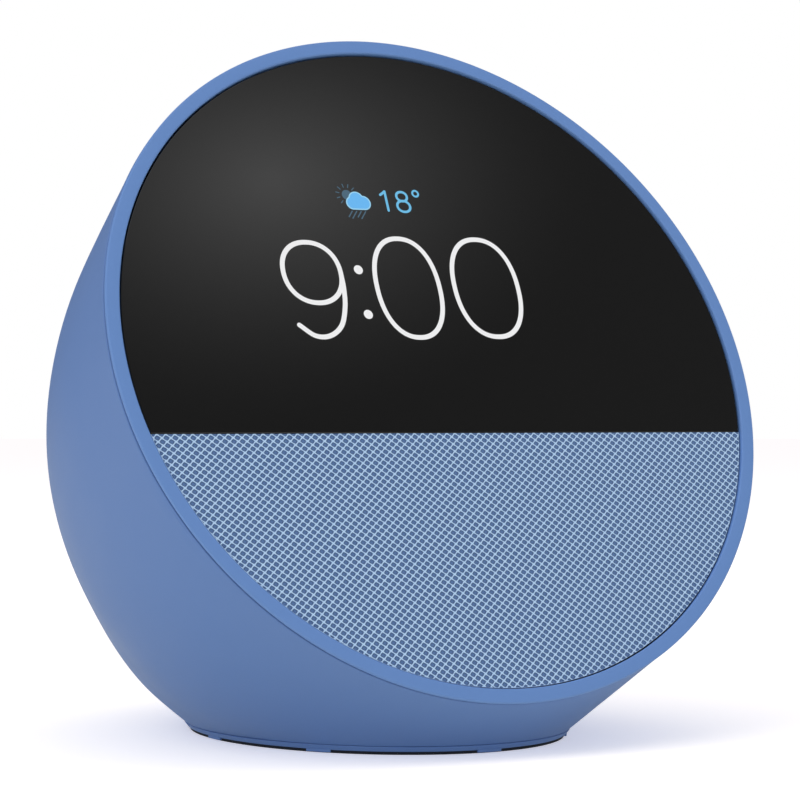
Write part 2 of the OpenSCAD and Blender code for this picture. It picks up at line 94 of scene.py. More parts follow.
@dataclass(frozen=True)
class BodyFrame:
    """The axis that the rounded rear is turned about, with local z running backwards."""

    centre: Vector
    dip: float = math.radians(36)
    drop: float = 0.25 * MM

    def matrix(self) -> Matrix:
        """Return the matrix from the body axis to the row frame."""
        turn = Matrix.Rotation(-math.pi / 2 - self.dip, 4, "X")
        return Matrix.Translation(self.centre) @ turn @ Matrix.Translation((0, self.drop, 0))

    def key(self, angle: float, along: float) -> Matrix:
        """Return the frame of a key, with local z out through the top of the shell.

        Args:
            angle: Angle about the body axis, in radians.
            along: Distance along the body axis.

        Returns:
            The matrix from the key's own frame to the row frame.
        """
        turn = Matrix.Rotation(angle, 4, "Z") @ Matrix.Translation((0, 0, along))
        return self.matrix() @ turn @ Matrix.Rotation(math.pi / 2, 4, "X")


@dataclass(frozen=True)
class BaseOval:
    """The oval that the shell, the lip and the foot follow."""

    half_width: float = 29.4 * MM
    half_depth: float = 36.0 * MM

    def at(self, centre: Vector, angle: float, inset: float, z: float) -> Vector:
        """Return the point of the oval at an angle.

        Args:
            centre: Middle of the base on the table.
            angle: Angle in the oval's own circle.
            inset: How far the oval is drawn in.
            z: Height above the table.

        Returns:
            The point in the row frame.
        """
        a, b = self.half_width - inset, self.half_depth - inset
        return centre + Vector((a * math.cos(angle), b * math.sin(angle), z))

    def angle(self, arm: Vector) -> float:
        """Return the angle in the oval's own circle of a direction from its middle."""
        return math.atan2(arm.y / self.half_depth, arm.x / self.half_width)


def catmull(a: Vector, b: Vector, c: Vector, d: Vector, t: float) -> Vector:
    """Return the point at t on the smooth curve between b and c."""
    return 0.5 * (
        2 * b + (c - a) * t + (2 * a - 5 * b + 4 * c - d) * t * t + (3 * b - 3 * c + d - a) * t ** 3
    )


BASE_BACK = 22.8 * MM
FACE_HEIGHT = 60 * MM
foot_low, foot_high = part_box("foot_pad")
BASE_CENTRE = Vector((0.0, (foot_low.y + foot_high.y) / 2, 0.0))
FACE = FaceFrame(Vector((0.0, BASE_CENTRE.y - BASE_BACK, FACE_HEIGHT)))
BODY = BodyFrame(FACE.centre)
OVAL = BaseOval()


# ---------------------------------------------------------------- mesh helpers


def absorb(target: BMesh, part: BMesh, place: Matrix | None = None) -> None:
    """Move a part into another mesh and free it.

    Args:
        target: The mesh that takes the part.
        part: The part, which is freed.
        place: Where the part goes, in the frame of the target.
    """
    if place is not None:
        bmesh.ops.transform(part, matrix=place, verts=part.verts[:])
    carrier = bpy.data.meshes.new("carrier")
    part.to_mesh(carrier)
    part.free()
    target.from_mesh(carrier)
    bpy.data.meshes.remove(carrier)


def finished(name: str, bm: BMesh, place: Matrix | None = None, sharp: float = 35.0) -> bpy.types.Object:
    """Turn a mesh under construction into an object at the origin.

    Args:
        name: Name of the piece.
        bm: The mesh, which is freed.
        place: Where it goes in the row frame.
        sharp: Angle above which an edge stays sharp, in degrees.

    Returns:
        The new object, linked to the scene.
    """
    if place is not None:
        bmesh.ops.transform(bm, matrix=place, verts=bm.verts[:])
    bmesh.ops.remove_doubles(bm, verts=bm.verts[:], dist=1e-7)
    bmesh.ops.recalc_face_normals(bm, faces=bm.faces[:])
    mesh = bpy.data.meshes.new(name)
    bm.to_mesh(mesh)
    bm.free()
    mesh.shade_smooth()
    mesh.set_sharp_from_angle(angle=math.radians(sharp))
    piece = bpy.data.objects.new(name, mesh)
    bpy.context.scene.collection.objects.link(piece)
    return piece


def filleted(corners: Sequence[tuple[float, float, float]], steps: int = 5) -> list[Point]:
    """Round the corners of a closed outline.

    Args:
        corners: (x, y, radius) of each corner in order.
        steps: Segments of each rounded corner.

    Returns:
        The points of the rounded outline.
    """
    points: list[Point] = []
    count = len(corners)
    for i, (x, y, radius) in enumerate(corners):
        here = Vector((x, y))
        if radius <= 0:
            points.append((x, y))
            continue
        before = (Vector(corners[i - 1][:2]) - here).normalized()
        after = (Vector(corners[(i + 1) % count][:2]) - here).normalized()
        half = before.angle(after) / 2
        start = here + before * radius / math.tan(half)
        end = here + after * radius / math.tan(half)
        middle = here + (before + after).normalized() * radius / math.sin(half)
        turn = (start - middle).angle_signed(end - middle)
        for k in range(steps + 1):
            arm = (start - middle).copy()
            arm.rotate(Matrix.Rotation(-turn * k / steps, 2))
            points.append(tuple(middle + arm))
    return points


def revolved(outline: Sequence[Point], steps: int = 128) -> BMesh:
    """Spin a closed (radius, height) outline about Z.

    Args:
        outline: Points of the outline, in order.
        steps: Segments of the turn.

    Returns:
        The turned solid.
    """
    bm = bmesh.new()
    verts = [bm.verts.new((r, 0.0, z)) for r, z in outline]
    edges = [bm.edges.new((a, b)) for a, b in zip(verts, verts[1:] + verts[:1])]
    bmesh.ops.spin(
        bm, geom=verts + edges, cent=(0, 0, 0), axis=(0, 0, 1), dvec=(0, 0, 0),
        angle=math.tau, steps=steps, use_merge=True, use_duplicate=False,
    )
    bmesh.ops.remove_doubles(bm, verts=bm.verts[:], dist=1e-7)
    bmesh.ops.dissolve_degenerate(bm, dist=1e-8, edges=bm.edges[:])
    bmesh.ops.recalc_face_normals(bm, faces=bm.faces[:])
    return bm


def soft_box(size: Vector, edge: float, segments: int = 2) -> BMesh:
    """Make a box with rounded edges, centred on the origin.

    Args:
        size: Full size along each axis.
        edge: Radius of the edges.
        segments: Segments of each edge.

    Returns:
        The box.
    """
    bm = bmesh.new()
    bmesh.ops.create_cube(bm, size=1.0, matrix=Matrix.Diagonal(size.to_4d()))
    bmesh.ops.bevel(
        bm, geom=bm.edges[:], offset=edge, offset_type="OFFSET", affect="EDGES",
        segments=segments, profile=0.5, material=-1, clamp_overlap=True,
    )
    return bm


def slab(outline: BMesh, low: float, high: float, edge: float) -> BMesh:
    """Raise a flat face into a slab with a rounded front edge.

    Args:
        outline: A mesh that holds flat faces in the XY plane.
        low: Height of the back.
        high: Height of the front.
        edge: Radius of the front edge, or 0.

    Returns:
        The slab, in the same mesh.
    """
    for vert in outline.verts:
        vert.co.z = low
    raised = bmesh.ops.extrude_face_region(outline, geom=outline.faces[:], use_keep_orig=True)
    top = [g for g in raised["geom"] if isinstance(g, BMVert)]
    bmesh.ops.translate(outline, vec=(0, 0, high - low), verts=top)
    bmesh.ops.recalc_face_normals(outline, faces=outline.faces[:])
    if edge > 0:
        rim = [
            e for e in outline.edges
            if all(abs(v.co.z - high) < 1e-9 for v in e.verts)
            and any(abs(f.normal.z) < 0.5 for f in e.link_faces)
        ]
        bmesh.ops.bevel(
            outline, geom=rim, offset=edge, offset_type="OFFSET", affect="EDGES",
            segments=3, profile=0.5, material=-1, clamp_overlap=True,
        )
    return outline


def segment(radius: float, steps: int, split: float, side: int) -> BMesh:
    """Make a flat disc that is cut along a line across Y.

    Args:
        radius: Radius of the disc.
        steps: Segments of its full circle.
        split: Where the line lies.
        side: 1 to keep what lies above the line, -1 to keep what lies below it.

    Returns:
        The flat segment.
    """
    bm = bmesh.new()
    bmesh.ops.create_circle(bm, cap_ends=True, segments=steps, radius=radius)
    bmesh.ops.bisect_plane(
        bm, geom=bm.verts[:] + bm.edges[:] + bm.faces[:], plane_co=(0, split, 0),
        plane_no=(0, -side, 0), clear_outer=True,
    )
    return bm


def mapped_flat(bm: BMesh, name: str) -> None:
    """Give each corner of a mesh its place in the XY plane as a UV, in metres."""
    layer = bm.loops.layers.uv.new(name)
    for face in bm.faces:
        for loop in face.loops:
            loop[layer].uv = loop.vert.co.xy


def extended(bm: BMesh, loop: Iterable[BMEdge], move: Callable[[Vector], Vector]) -> list[BMEdge]:
    """Grow a boundary loop by one row of faces.

    Args:
        bm: The mesh.
        loop: Edges of the boundary loop.
        move: Gives each new vertex its place from the old one.

    Returns:
        The edges of the new boundary loop.
    """
    grown = bmesh.ops.extrude_edge_only(bm, edges=list(loop))["geom"]
    for vert in (g for g in grown if isinstance(g, BMVert)):
        vert.co = move(vert.co)
    return [g for g in grown if isinstance(g, BMEdge)]


def evaluated(piece: bpy.types.Object) -> None:
    """Apply all of a piece's modifiers to its mesh."""
    depsgraph = bpy.context.evaluated_depsgraph_get()
    final = bpy.data.meshes.new_from_object(piece.evaluated_get(depsgraph))
    piece.modifiers.clear()
    old = piece.data
    piece.data = final
    final.name = piece.name
    bpy.data.meshes.remove(old)


# ---------------------------------------------------------------- shared shader effects


class Effect(Enum):
    """Shader effects that several finishes share, one node group each."""

    GRAIN = "Moulded grain"
    KNIT = "Knit threads"
    BRUSH = "Brushed streaks"
    TRACES = "Board traces"
    PIXELS = "Lit pixels"


COLOUR = "NodeSocketColor"
VALUE = "NodeSocketFloat"
VECTOR = "NodeSocketVector"


class GroupMaker:
    """Builds the shared node groups, each of them once."""

    def __init__(self) -> None:
        """Start with no groups made."""
        self.made: dict[Effect, bpy.types.NodeTree] = {}

    def get(self, effect: Effect) -> bpy.types.NodeTree:
        """Return the group of an effect, made on its first use."""
        if effect not in self.made:
            makers = {
                Effect.GRAIN: self._grain,
                Effect.KNIT: self._knit,
                Effect.BRUSH: self._brush,
                Effect.TRACES: self._traces,
                Effect.PIXELS: self._pixels,
            }
            self.made[effect] = makers[effect]()
        return self.made[effect]

    @staticmethod
    def _tree(name: str, inputs: dict[str, str], outputs: dict[str, str]) -> tuple:
        """Make an empty group.

        Args:
            name: Name of the group.
            inputs: Socket type of each named input.
            outputs: Socket type of each named output.

        Returns:
            The tree, its input node and its output node.
        """
        tree = bpy.data.node_groups.new(name, "ShaderNodeTree")
        for socket, kind in inputs.items():
            tree.interface.new_socket(socket, in_out="INPUT", socket_type=kind)
        for socket, kind in outputs.items():
            tree.interface.new_socket(socket, in_out="OUTPUT", socket_type=kind)
        return tree, tree.nodes.new("NodeGroupInput"), tree.nodes.new("NodeGroupOutput")

    @staticmethod
    def _math(tree: bpy.types.NodeTree, kind: str, a: object, b: object) -> bpy.types.NodeSocket:
        """Add a maths node; a and b are sockets or numbers. Return its output."""
        node = tree.nodes.new("ShaderNodeMath")
        node.operation = kind
        for i, value in enumerate((a, b)):
            if isinstance(value, bpy.types.NodeSocket):
                tree.links.new(value, node.inputs[i])
            else:
                node.inputs[i].default_value = value
        return node.outputs[0]

    @staticmethod
    def _noise(
        tree: bpy.types.NodeTree, vector: object, scale: object, detail: float,
    ) -> bpy.types.NodeSocket:
        """Add a noise texture. Return its value output."""
        node = tree.nodes.new("ShaderNodeTexNoise")
        node.inputs["Detail"].default_value = detail
        tree.links.new(vector, node.inputs["Vector"])
        if isinstance(scale, bpy.types.NodeSocket):
            tree.links.new(scale, node.inputs["Scale"])
        else:
            node.inputs["Scale"].default_value = scale
        return node.outputs["Fac"]

    @staticmethod
    def _mix(tree: bpy.types.NodeTree, factor: object, a: object, b: object) -> bpy.types.NodeSocket:
        """Mix two colour sockets by a factor socket. Return the result."""
        node = tree.nodes.new("ShaderNodeMix")
        node.data_type = "RGBA"
        tree.links.new(factor, node.inputs["Factor"])
        for name, value in (("A", a), ("B", b)):
            socket = next(s for s in node.inputs if s.name == name and s.type == "RGBA")
            if isinstance(value, bpy.types.NodeSocket):
                tree.links.new(value, socket)
            else:
                socket.default_value = (*value, 1.0)
        return next(s for s in node.outputs if s.type == "RGBA")

    @staticmethod
    def _put(tree: bpy.types.NodeTree, sink: bpy.types.Node, **outputs: object) -> bpy.types.NodeTree:
        """Link sockets to the named outputs of a group. Return its tree."""
        for name, socket in outputs.items():
            tree.links.new(socket, sink.inputs[name])
        return tree

    def _grain(self) -> bpy.types.NodeTree:
        """Fine moulded texture with a slow drift of tone and of sheen."""
        tree, source, sink = self._tree(
            "Moulded grain",
            {"Vector": VECTOR, "Base": COLOUR, "Tint": COLOUR, "Grain": VALUE,
             "Roughness": VALUE, "Spread": VALUE},
            {"Color": COLOUR, "Roughness": VALUE, "Height": VALUE},
        )
        vector = source.outputs["Vector"]
        fine = self._noise(tree, vector, source.outputs["Grain"], 2.0)
        slow = self._noise(tree, vector, 22.0, 2.0)
        handled = self._noise(tree, vector, 90.0, 4.0)
        colour_out = self._mix(tree, slow, source.outputs["Base"], source.outputs["Tint"])
        centred = self._math(tree, "SUBTRACT", handled, 0.5)
        spread = self._math(tree, "MULTIPLY", centred, source.outputs["Spread"])
        rough = self._math(tree, "ADD", spread, source.outputs["Roughness"])
        return self._put(tree, sink, Color=colour_out, Roughness=rough, Height=fine)

    def _knit(self) -> bpy.types.NodeTree:
        """Twisted threads over pits darkened with painted shade, from a mask of how deep each point lies."""
        tree, source, sink = self._tree(
            "Knit threads",
            {"Vector": VECTOR, "Depth": VALUE, "Thread": COLOUR, "Shade": COLOUR,
             "Hollow shade": COLOUR, "Pit shade": COLOUR, "Twist": VALUE},
            {"Color": COLOUR, "Height": VALUE},
        )
        vector = source.outputs["Vector"]
        waves = []
        for lean in (-1, 1):
            turned = tree.nodes.new("ShaderNodeMapping")
            turned.inputs["Rotation"].default_value = (0, 0, lean * math.radians(28))
            tree.links.new(vector, turned.inputs["Vector"])
            wave = tree.nodes.new("ShaderNodeTexWave")
            wave.inputs["Distortion"].default_value = 1.5
            wave.inputs["Detail Scale"].default_value = 2.0
            tree.links.new(source.outputs["Twist"], wave.inputs["Scale"])
            tree.links.new(turned.outputs["Vector"], wave.inputs["Vector"])
            waves.append(wave.outputs["Fac"])
        fibres = self._math(tree, "MULTIPLY", waves[0], waves[1])
        uneven = self._noise(tree, vector, 1600.0, 3.0)
        cells = self._noise(tree, vector, 260.0, 1.0)
        lit = self._mix(tree, uneven, source.outputs["Shade"], source.outputs["Thread"])
        patchy = self._math(tree, "MULTIPLY", cells, 0.25)
        result = self._mix(tree, patchy, lit, source.outputs["Shade"])
        # Painted shade: the hollows darken with depth, the pits are darker still, and the deepest middle goes
        # back to the hollow shade.
        steps = ((0.12, 0.50, "Hollow shade"), (0.62, 0.86, "Pit shade"), (0.93, 1.0, "Hollow shade"))
        for low, high, name in steps:
            ramp = tree.nodes.new("ShaderNodeMapRange")
            ramp.interpolation_type = "SMOOTHSTEP"
            ramp.inputs["From Min"].default_value = low
            ramp.inputs["From Max"].default_value = high
            tree.links.new(source.outputs["Depth"], ramp.inputs["Value"])
            result = self._mix(tree, ramp.outputs["Result"], result, source.outputs[name])
        raised = self._math(tree, "ADD", fibres, uneven)
        return self._put(tree, sink, Color=result, Height=raised)

    def _brush(self) -> bpy.types.NodeTree:
        """Long fine streaks of a rolled or brushed metal."""
        tree, source, sink = self._tree(
            "Brushed streaks",
            {"Vector": VECTOR, "Base": COLOUR, "Tint": COLOUR, "Roughness": VALUE},
            {"Color": COLOUR, "Roughness": VALUE, "Height": VALUE},
        )
        stretched = tree.nodes.new("ShaderNodeMapping")
        stretched.inputs["Scale"].default_value = (1.0, 24.0, 24.0)
        tree.links.new(source.outputs["Vector"], stretched.inputs["Vector"])
        streak = self._noise(tree, stretched.outputs["Vector"], 180.0, 3.0)
        lift = self._math(tree, "MULTIPLY", streak, 0.25)
        shade = self._mix(tree, streak, source.outputs["Base"], source.outputs["Tint"])
        rough = self._math(tree, "ADD", lift, source.outputs["Roughness"])
        return self._put(tree, sink, Color=shade, Roughness=rough, Height=streak)

    def _traces(self) -> bpy.types.NodeTree:
        """Copper runs under the solder mask of a circuit board."""
        tree, source, sink = self._tree(
            "Board traces",
            {"Vector": VECTOR, "Mask": COLOUR, "Run": COLOUR, "Pitch": VALUE},
            {"Color": COLOUR, "Height": VALUE},
        )
        brick = tree.nodes.new("ShaderNodeTexBrick")
        brick.inputs["Mortar Size"].default_value = 0.03
        brick.inputs["Row Height"].default_value = 0.3
        tree.links.new(source.outputs["Pitch"], brick.inputs["Scale"])
        tree.links.new(source.outputs["Vector"], brick.inputs["Vector"])
        runs = brick.outputs["Fac"]
        shade = self._mix(tree, runs, source.outputs["Mask"], source.outputs["Run"])
        return self._put(tree, sink, Color=shade, Height=runs)

    def _pixels(self) -> bpy.types.NodeTree:
        """The fine grid that a lit screen shows close up."""
        tree, source, sink = self._tree(
            "Lit pixels",
            {"Vector": VECTOR, "Light": COLOUR, "Gap": COLOUR, "Pitch": VALUE},
            {"Color": COLOUR},
        )
        checker = tree.nodes.new("ShaderNodeTexBrick")
        checker.offset = 0.0
        checker.inputs["Mortar Size"].default_value = 0.04
        checker.inputs["Brick Width"].default_value = 0.5
        checker.inputs["Row Height"].default_value = 0.5
        tree.links.new(source.outputs["Pitch"], checker.inputs["Scale"])
        tree.links.new(source.outputs["Vector"], checker.inputs["Vector"])
        shade = self._mix(tree, checker.outputs["Fac"], source.outputs["Light"], source.outputs["Gap"])
        return self._put(tree, sink, Color=shade)


GROUPS = GroupMaker()


# ---------------------------------------------------------------- finishes


class Dressing:
    """One material under construction."""

    def __init__(self, name: str) -> None:
        """Start a material with a Principled shader and its object coordinates."""
        self.material = bpy.data.materials.new(name)
        self.material.use_nodes = True
        self.tree = self.material.node_tree
        self.shader = self.tree.nodes["Principled BSDF"]
        self.coords = self.tree.nodes.new("ShaderNodeTexCoord")

    def group(self, effect: Effect, values: dict[str, object], vector: str = "Object") -> bpy.types.Node:
        """Place a shared effect in the material.

        Args:
            effect: The effect to place.
            values: Value of each named input.
            vector: Output of the coordinates that the pattern follows.

        Returns:
            The group's node.
        """
        node = self.tree.nodes.new("ShaderNodeGroup")
        node.node_tree = GROUPS.get(effect)
        mapping = self.tree.nodes.new("ShaderNodeMapping")
        self.tree.links.new(self.coords.outputs[vector], mapping.inputs["Vector"])
        self.tree.links.new(mapping.outputs["Vector"], node.inputs["Vector"])
        for name, value in values.items():
            node.inputs[name].default_value = (*value, 1.0) if isinstance(value, tuple) else value
        return node

    def feed(self, source: bpy.types.Node, output: str, target: str) -> None:
        """Link a node's output to a socket of the shader."""
        self.tree.links.new(source.outputs[output], self.shader.inputs[target])

    def bump(self, source: bpy.types.Node, depth: float, strength: float = 1.0) -> None:
        """Feed a height to the shader's normal, with its depth in metres."""
        node = self.tree.nodes.new("ShaderNodeBump")
        node.inputs["Distance"].default_value = depth
        node.inputs["Strength"].default_value = strength
        self.tree.links.new(source.outputs["Height"], node.inputs["Height"])
        self.tree.links.new(node.outputs["Normal"], self.shader.inputs["Normal"])

    def set(self, **values: object) -> None:
        """Set sockets of the shader, with underscores for the spaces in their names."""
        for name, value in values.items():
            socket = self.shader.inputs[name.replace("_", " ")]
            socket.default_value = (*value, 1.0) if isinstance(value, tuple) else value


@dataclass(frozen=True)
class MouldedPlastic:
    """Plastic with a moulded grain."""

    name: str
    base: Colour
    tint: Colour
    roughness: float = 0.5
    spread: float = 0.12
    grain: float = 5200.0
    depth: float = 0.012 * MM
    specular: float = 0.4
    sheen: float = 0.0

    def material(self) -> bpy.types.Material:
        """Build the material."""
        dress = Dressing(self.name)
        grain = dress.group(Effect.GRAIN, {
            "Base": self.base, "Tint": self.tint, "Grain": self.grain,
            "Roughness": self.roughness, "Spread": self.spread,
        })
        dress.feed(grain, "Color", "Base Color")
        dress.feed(grain, "Roughness", "Roughness")
        dress.bump(grain, self.depth)
        dress.set(Specular_IOR_Level=self.specular, Sheen_Weight=self.sheen)
        return dress.material


@dataclass(frozen=True)
class LensGloss:
    """Clear hard coat over a black print."""

    name: str
    base: Colour
    tint: Colour
    roughness: float = 0.06

    def material(self) -> bpy.types.Material:
        """Build the material."""
        dress = Dressing(self.name)
        grain = dress.group(Effect.GRAIN, {
            "Base": self.base, "Tint": self.tint, "Grain": 900.0,
            "Roughness": self.roughness, "Spread": 0.03,
        })
        dress.feed(grain, "Color", "Base Color")
        dress.feed(grain, "Roughness", "Roughness")
        dress.bump(grain, 0.0004 * MM)
        dress.set(IOR=1.5, Coat_Weight=0.25, Coat_Roughness=0.03)
        return dress.material


@dataclass(frozen=True)
class ScreenLight:
    """A lit part of the screen."""

    name: str
    light: Colour
    strength: float = 1.0
    gap: float = 0.82

    def material(self) -> bpy.types.Material:
        """Build the material."""
        dress = Dressing(self.name)
        pixels = dress.group(Effect.PIXELS, {
            "Light": self.light, "Gap": tuple(c * self.gap for c in self.light), "Pitch": 4500.0,
        }, vector="UV")
        dress.feed(pixels, "Color", "Emission Color")
        dress.set(Emission_Strength=self.strength, Base_Color=(0.0, 0.0, 0.0), Roughness=0.5,
                  Specular_IOR_Level=0.0)
        return dress.material


@dataclass(frozen=True)
class GrilleKnit:
    """Light threads in a lattice over pits darkened with painted shade."""

    name: str
    thread: Colour
    shade: Colour
    # The hollow and pit colours are painted shade of the cells' recesses.
    hollow_shade: Colour
    pit: Colour
    mask: str = "pit"

    def material(self) -> bpy.types.Material:
        """Build the material."""
        dress = Dressing(self.name)
        knit = dress.group(Effect.KNIT, {
            "Thread": self.thread, "Shade": self.shade, "Hollow shade": self.hollow_shade, "Pit shade": self.pit,
            "Twist": 2100.0,
        }, vector="UV")
        depth = dress.tree.nodes.new("ShaderNodeAttribute")
        depth.attribute_name = self.mask
        dress.tree.links.new(depth.outputs["Fac"], knit.inputs["Depth"])
        dress.feed(knit, "Color", "Base Color")
        dress.bump(knit, 0.05 * MM, 0.6)
        dress.set(Roughness=0.85, Sheen_Weight=0.25, Sheen_Roughness=0.4, Specular_IOR_Level=0.25)
        return dress.material


@dataclass(frozen=True)
class RolledMetal:
    """Metal with fine streaks."""

    name: str
    base: Colour
    tint: Colour
    roughness: float = 0.28

    def material(self) -> bpy.types.Material:
        """Build the material."""
        dress = Dressing(self.name)
        brush = dress.group(Effect.BRUSH, {
            "Base": self.base, "Tint": self.tint, "Roughness": self.roughness,
        })
        dress.feed(brush, "Color", "Base Color")
        dress.feed(brush, "Roughness", "Roughness")
        dress.bump(brush, 0.003 * MM)
        dress.set(Metallic=1.0)
        return dress.material


@dataclass(frozen=True)
class CircuitBoard:
    """Solder mask over copper runs."""

    name: str
    mask: Colour
    run: Colour
    pitch: float = 260.0

    def material(self) -> bpy.types.Material:
        """Build the material."""
        dress = Dressing(self.name)
        traces = dress.group(Effect.TRACES, {"Mask": self.mask, "Run": self.run, "Pitch": self.pitch})
        dress.feed(traces, "Color", "Base Color")
        dress.bump(traces, 0.02 * MM, 0.5)
        dress.set(Roughness=0.35, Specular_IOR_Level=0.5)
        return dress.material


class Finishes:
    """The finishes of the record's material slots and of the lit screen."""

    SLOTS = {
        finish.name: finish for finish in (
            MouldedPlastic("shell_blue", (0.104, 0.206, 0.490), (0.112, 0.218, 0.515), 0.52),
            # Lighter than the shell blue: painted light that the ring's flat front face catches.
            MouldedPlastic("ring_blue", (0.120, 0.248, 0.575), (0.128, 0.260, 0.600), 0.46),
            MouldedPlastic("key_blue", (0.104, 0.208, 0.505), (0.112, 0.220, 0.530), 0.50),
            LensGloss("lens_black", (0.0032, 0.0032, 0.0034), (0.0040, 0.0040, 0.0041)),
            # Threads, a darker thread tone at random, then the painted shade of the hollows and of the pits.
            GrilleKnit(
                "grille_fabric", (0.58, 0.78, 0.99), (0.42, 0.61, 0.90), (0.090, 0.175, 0.380),
                (0.016, 0.038, 0.120),
            ),
            MouldedPlastic("black_plastic", (0.018, 0.018, 0.020), (0.026, 0.026, 0.030), 0.45),
            MouldedPlastic("grey_plastic", (0.070, 0.074, 0.080), (0.085, 0.090, 0.096), 0.55),
            MouldedPlastic(
                "foam", (0.016, 0.016, 0.017), (0.030, 0.030, 0.032), 0.9, 0.1, 2600.0, 0.06 * MM, 0.2,
            ),
            # Near-black foot: partly the rubber's own colour, partly painted shade of the gap under the lip.
            MouldedPlastic(
                "foot_rubber", (0.010, 0.013, 0.022), (0.016, 0.020, 0.032), 0.8, 0.1, 3200.0, 0.03 * MM, 0.3,
            ),
            RolledMetal("steel", (0.50, 0.51, 0.53), (0.60, 0.61, 0.63)),
            RolledMetal("screw_steel", (0.36, 0.36, 0.38), (0.46, 0.46, 0.48), 0.34),
            RolledMetal("aluminium", (0.66, 0.67, 0.69), (0.76, 0.77, 0.79), 0.3),
            MouldedPlastic(
                "magnet", (0.030, 0.030, 0.034), (0.050, 0.050, 0.055), 0.6, 0.2, 1800.0, 0.04 * MM,
            ),
            RolledMetal("copper", (0.62, 0.27, 0.12), (0.74, 0.36, 0.17), 0.3),
            RolledMetal("contact_gold", (0.78, 0.56, 0.22), (0.86, 0.66, 0.30), 0.22),
            CircuitBoard("board_green", (0.010, 0.085, 0.035), (0.030, 0.180, 0.070)),
            MouldedPlastic("flex_amber", (0.42, 0.17, 0.030), (0.52, 0.22, 0.045), 0.3),
            MouldedPlastic(
                "cone_paper", (0.020, 0.020, 0.022), (0.034, 0.034, 0.037), 0.8, 0.1, 1500.0, 0.08 * MM, 0.2,
            ),
            MouldedPlastic(
                "spider_cloth", (0.42, 0.27, 0.09), (0.54, 0.37, 0.14), 0.8, 0.1, 2200.0, 0.08 * MM, 0.2,
            ),
            LensGloss("display_cell", (0.010, 0.011, 0.015), (0.014, 0.015, 0.020), 0.1),
            MouldedPlastic("cable_black", (0.014, 0.014, 0.015), (0.022, 0.022, 0.024), 0.5),
            MouldedPlastic("cable_red", (0.33, 0.020, 0.018), (0.42, 0.030, 0.026), 0.45),
            MouldedPlastic("white_plastic", (0.66, 0.64, 0.57), (0.74, 0.72, 0.65), 0.45),
        )
    }
    LIT = {
        finish.name: finish for finish in (
            ScreenLight("clock_white", (0.90, 0.90, 0.91)),
            ScreenLight("reading_blue", (0.17, 0.53, 0.82)),
            ScreenLight("cloud_blue", (0.16, 0.50, 0.92)),
            ScreenLight("rim_blue", (0.34, 0.68, 0.92)),
            ScreenLight("sun_grey", (0.085, 0.150, 0.210)),
        )
    }

    def __init__(self) -> None:
        """Start with no materials made."""
        self.made: dict[str, bpy.types.Material] = {}

    def get(self, name: str) -> bpy.types.Material:
        """Return the material of a slot or of a lit part, made on its first use."""
        if name not in self.made:
            self.made[name] = {**self.SLOTS, **self.LIT}[name].material()
        return self.made[name]


FINISHES = Finishes()


def dress(piece: bpy.types.Object, finish: str, body: str, *nodes: str) -> bpy.types.Object:
    """Give a new piece its finish, its body and the CAD nodes that it stands for.

    Args:
        piece: The piece.
        finish: The record's material slot, or one of the lit finishes.
        body: Name of the body that it rides on.
        nodes: CAD nodes that it replaces.

    Returns:
        The piece.
    """
    piece.data.materials.clear()
    piece.data.materials.append(FINISHES.get(finish))
    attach(piece, body)
    if nodes:
        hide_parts(*nodes)
    finish in Finishes.SLOTS
    log.info("%s rides on %s", piece.name, body)
    return piece


# ---------------------------------------------------------------- the rounded housing


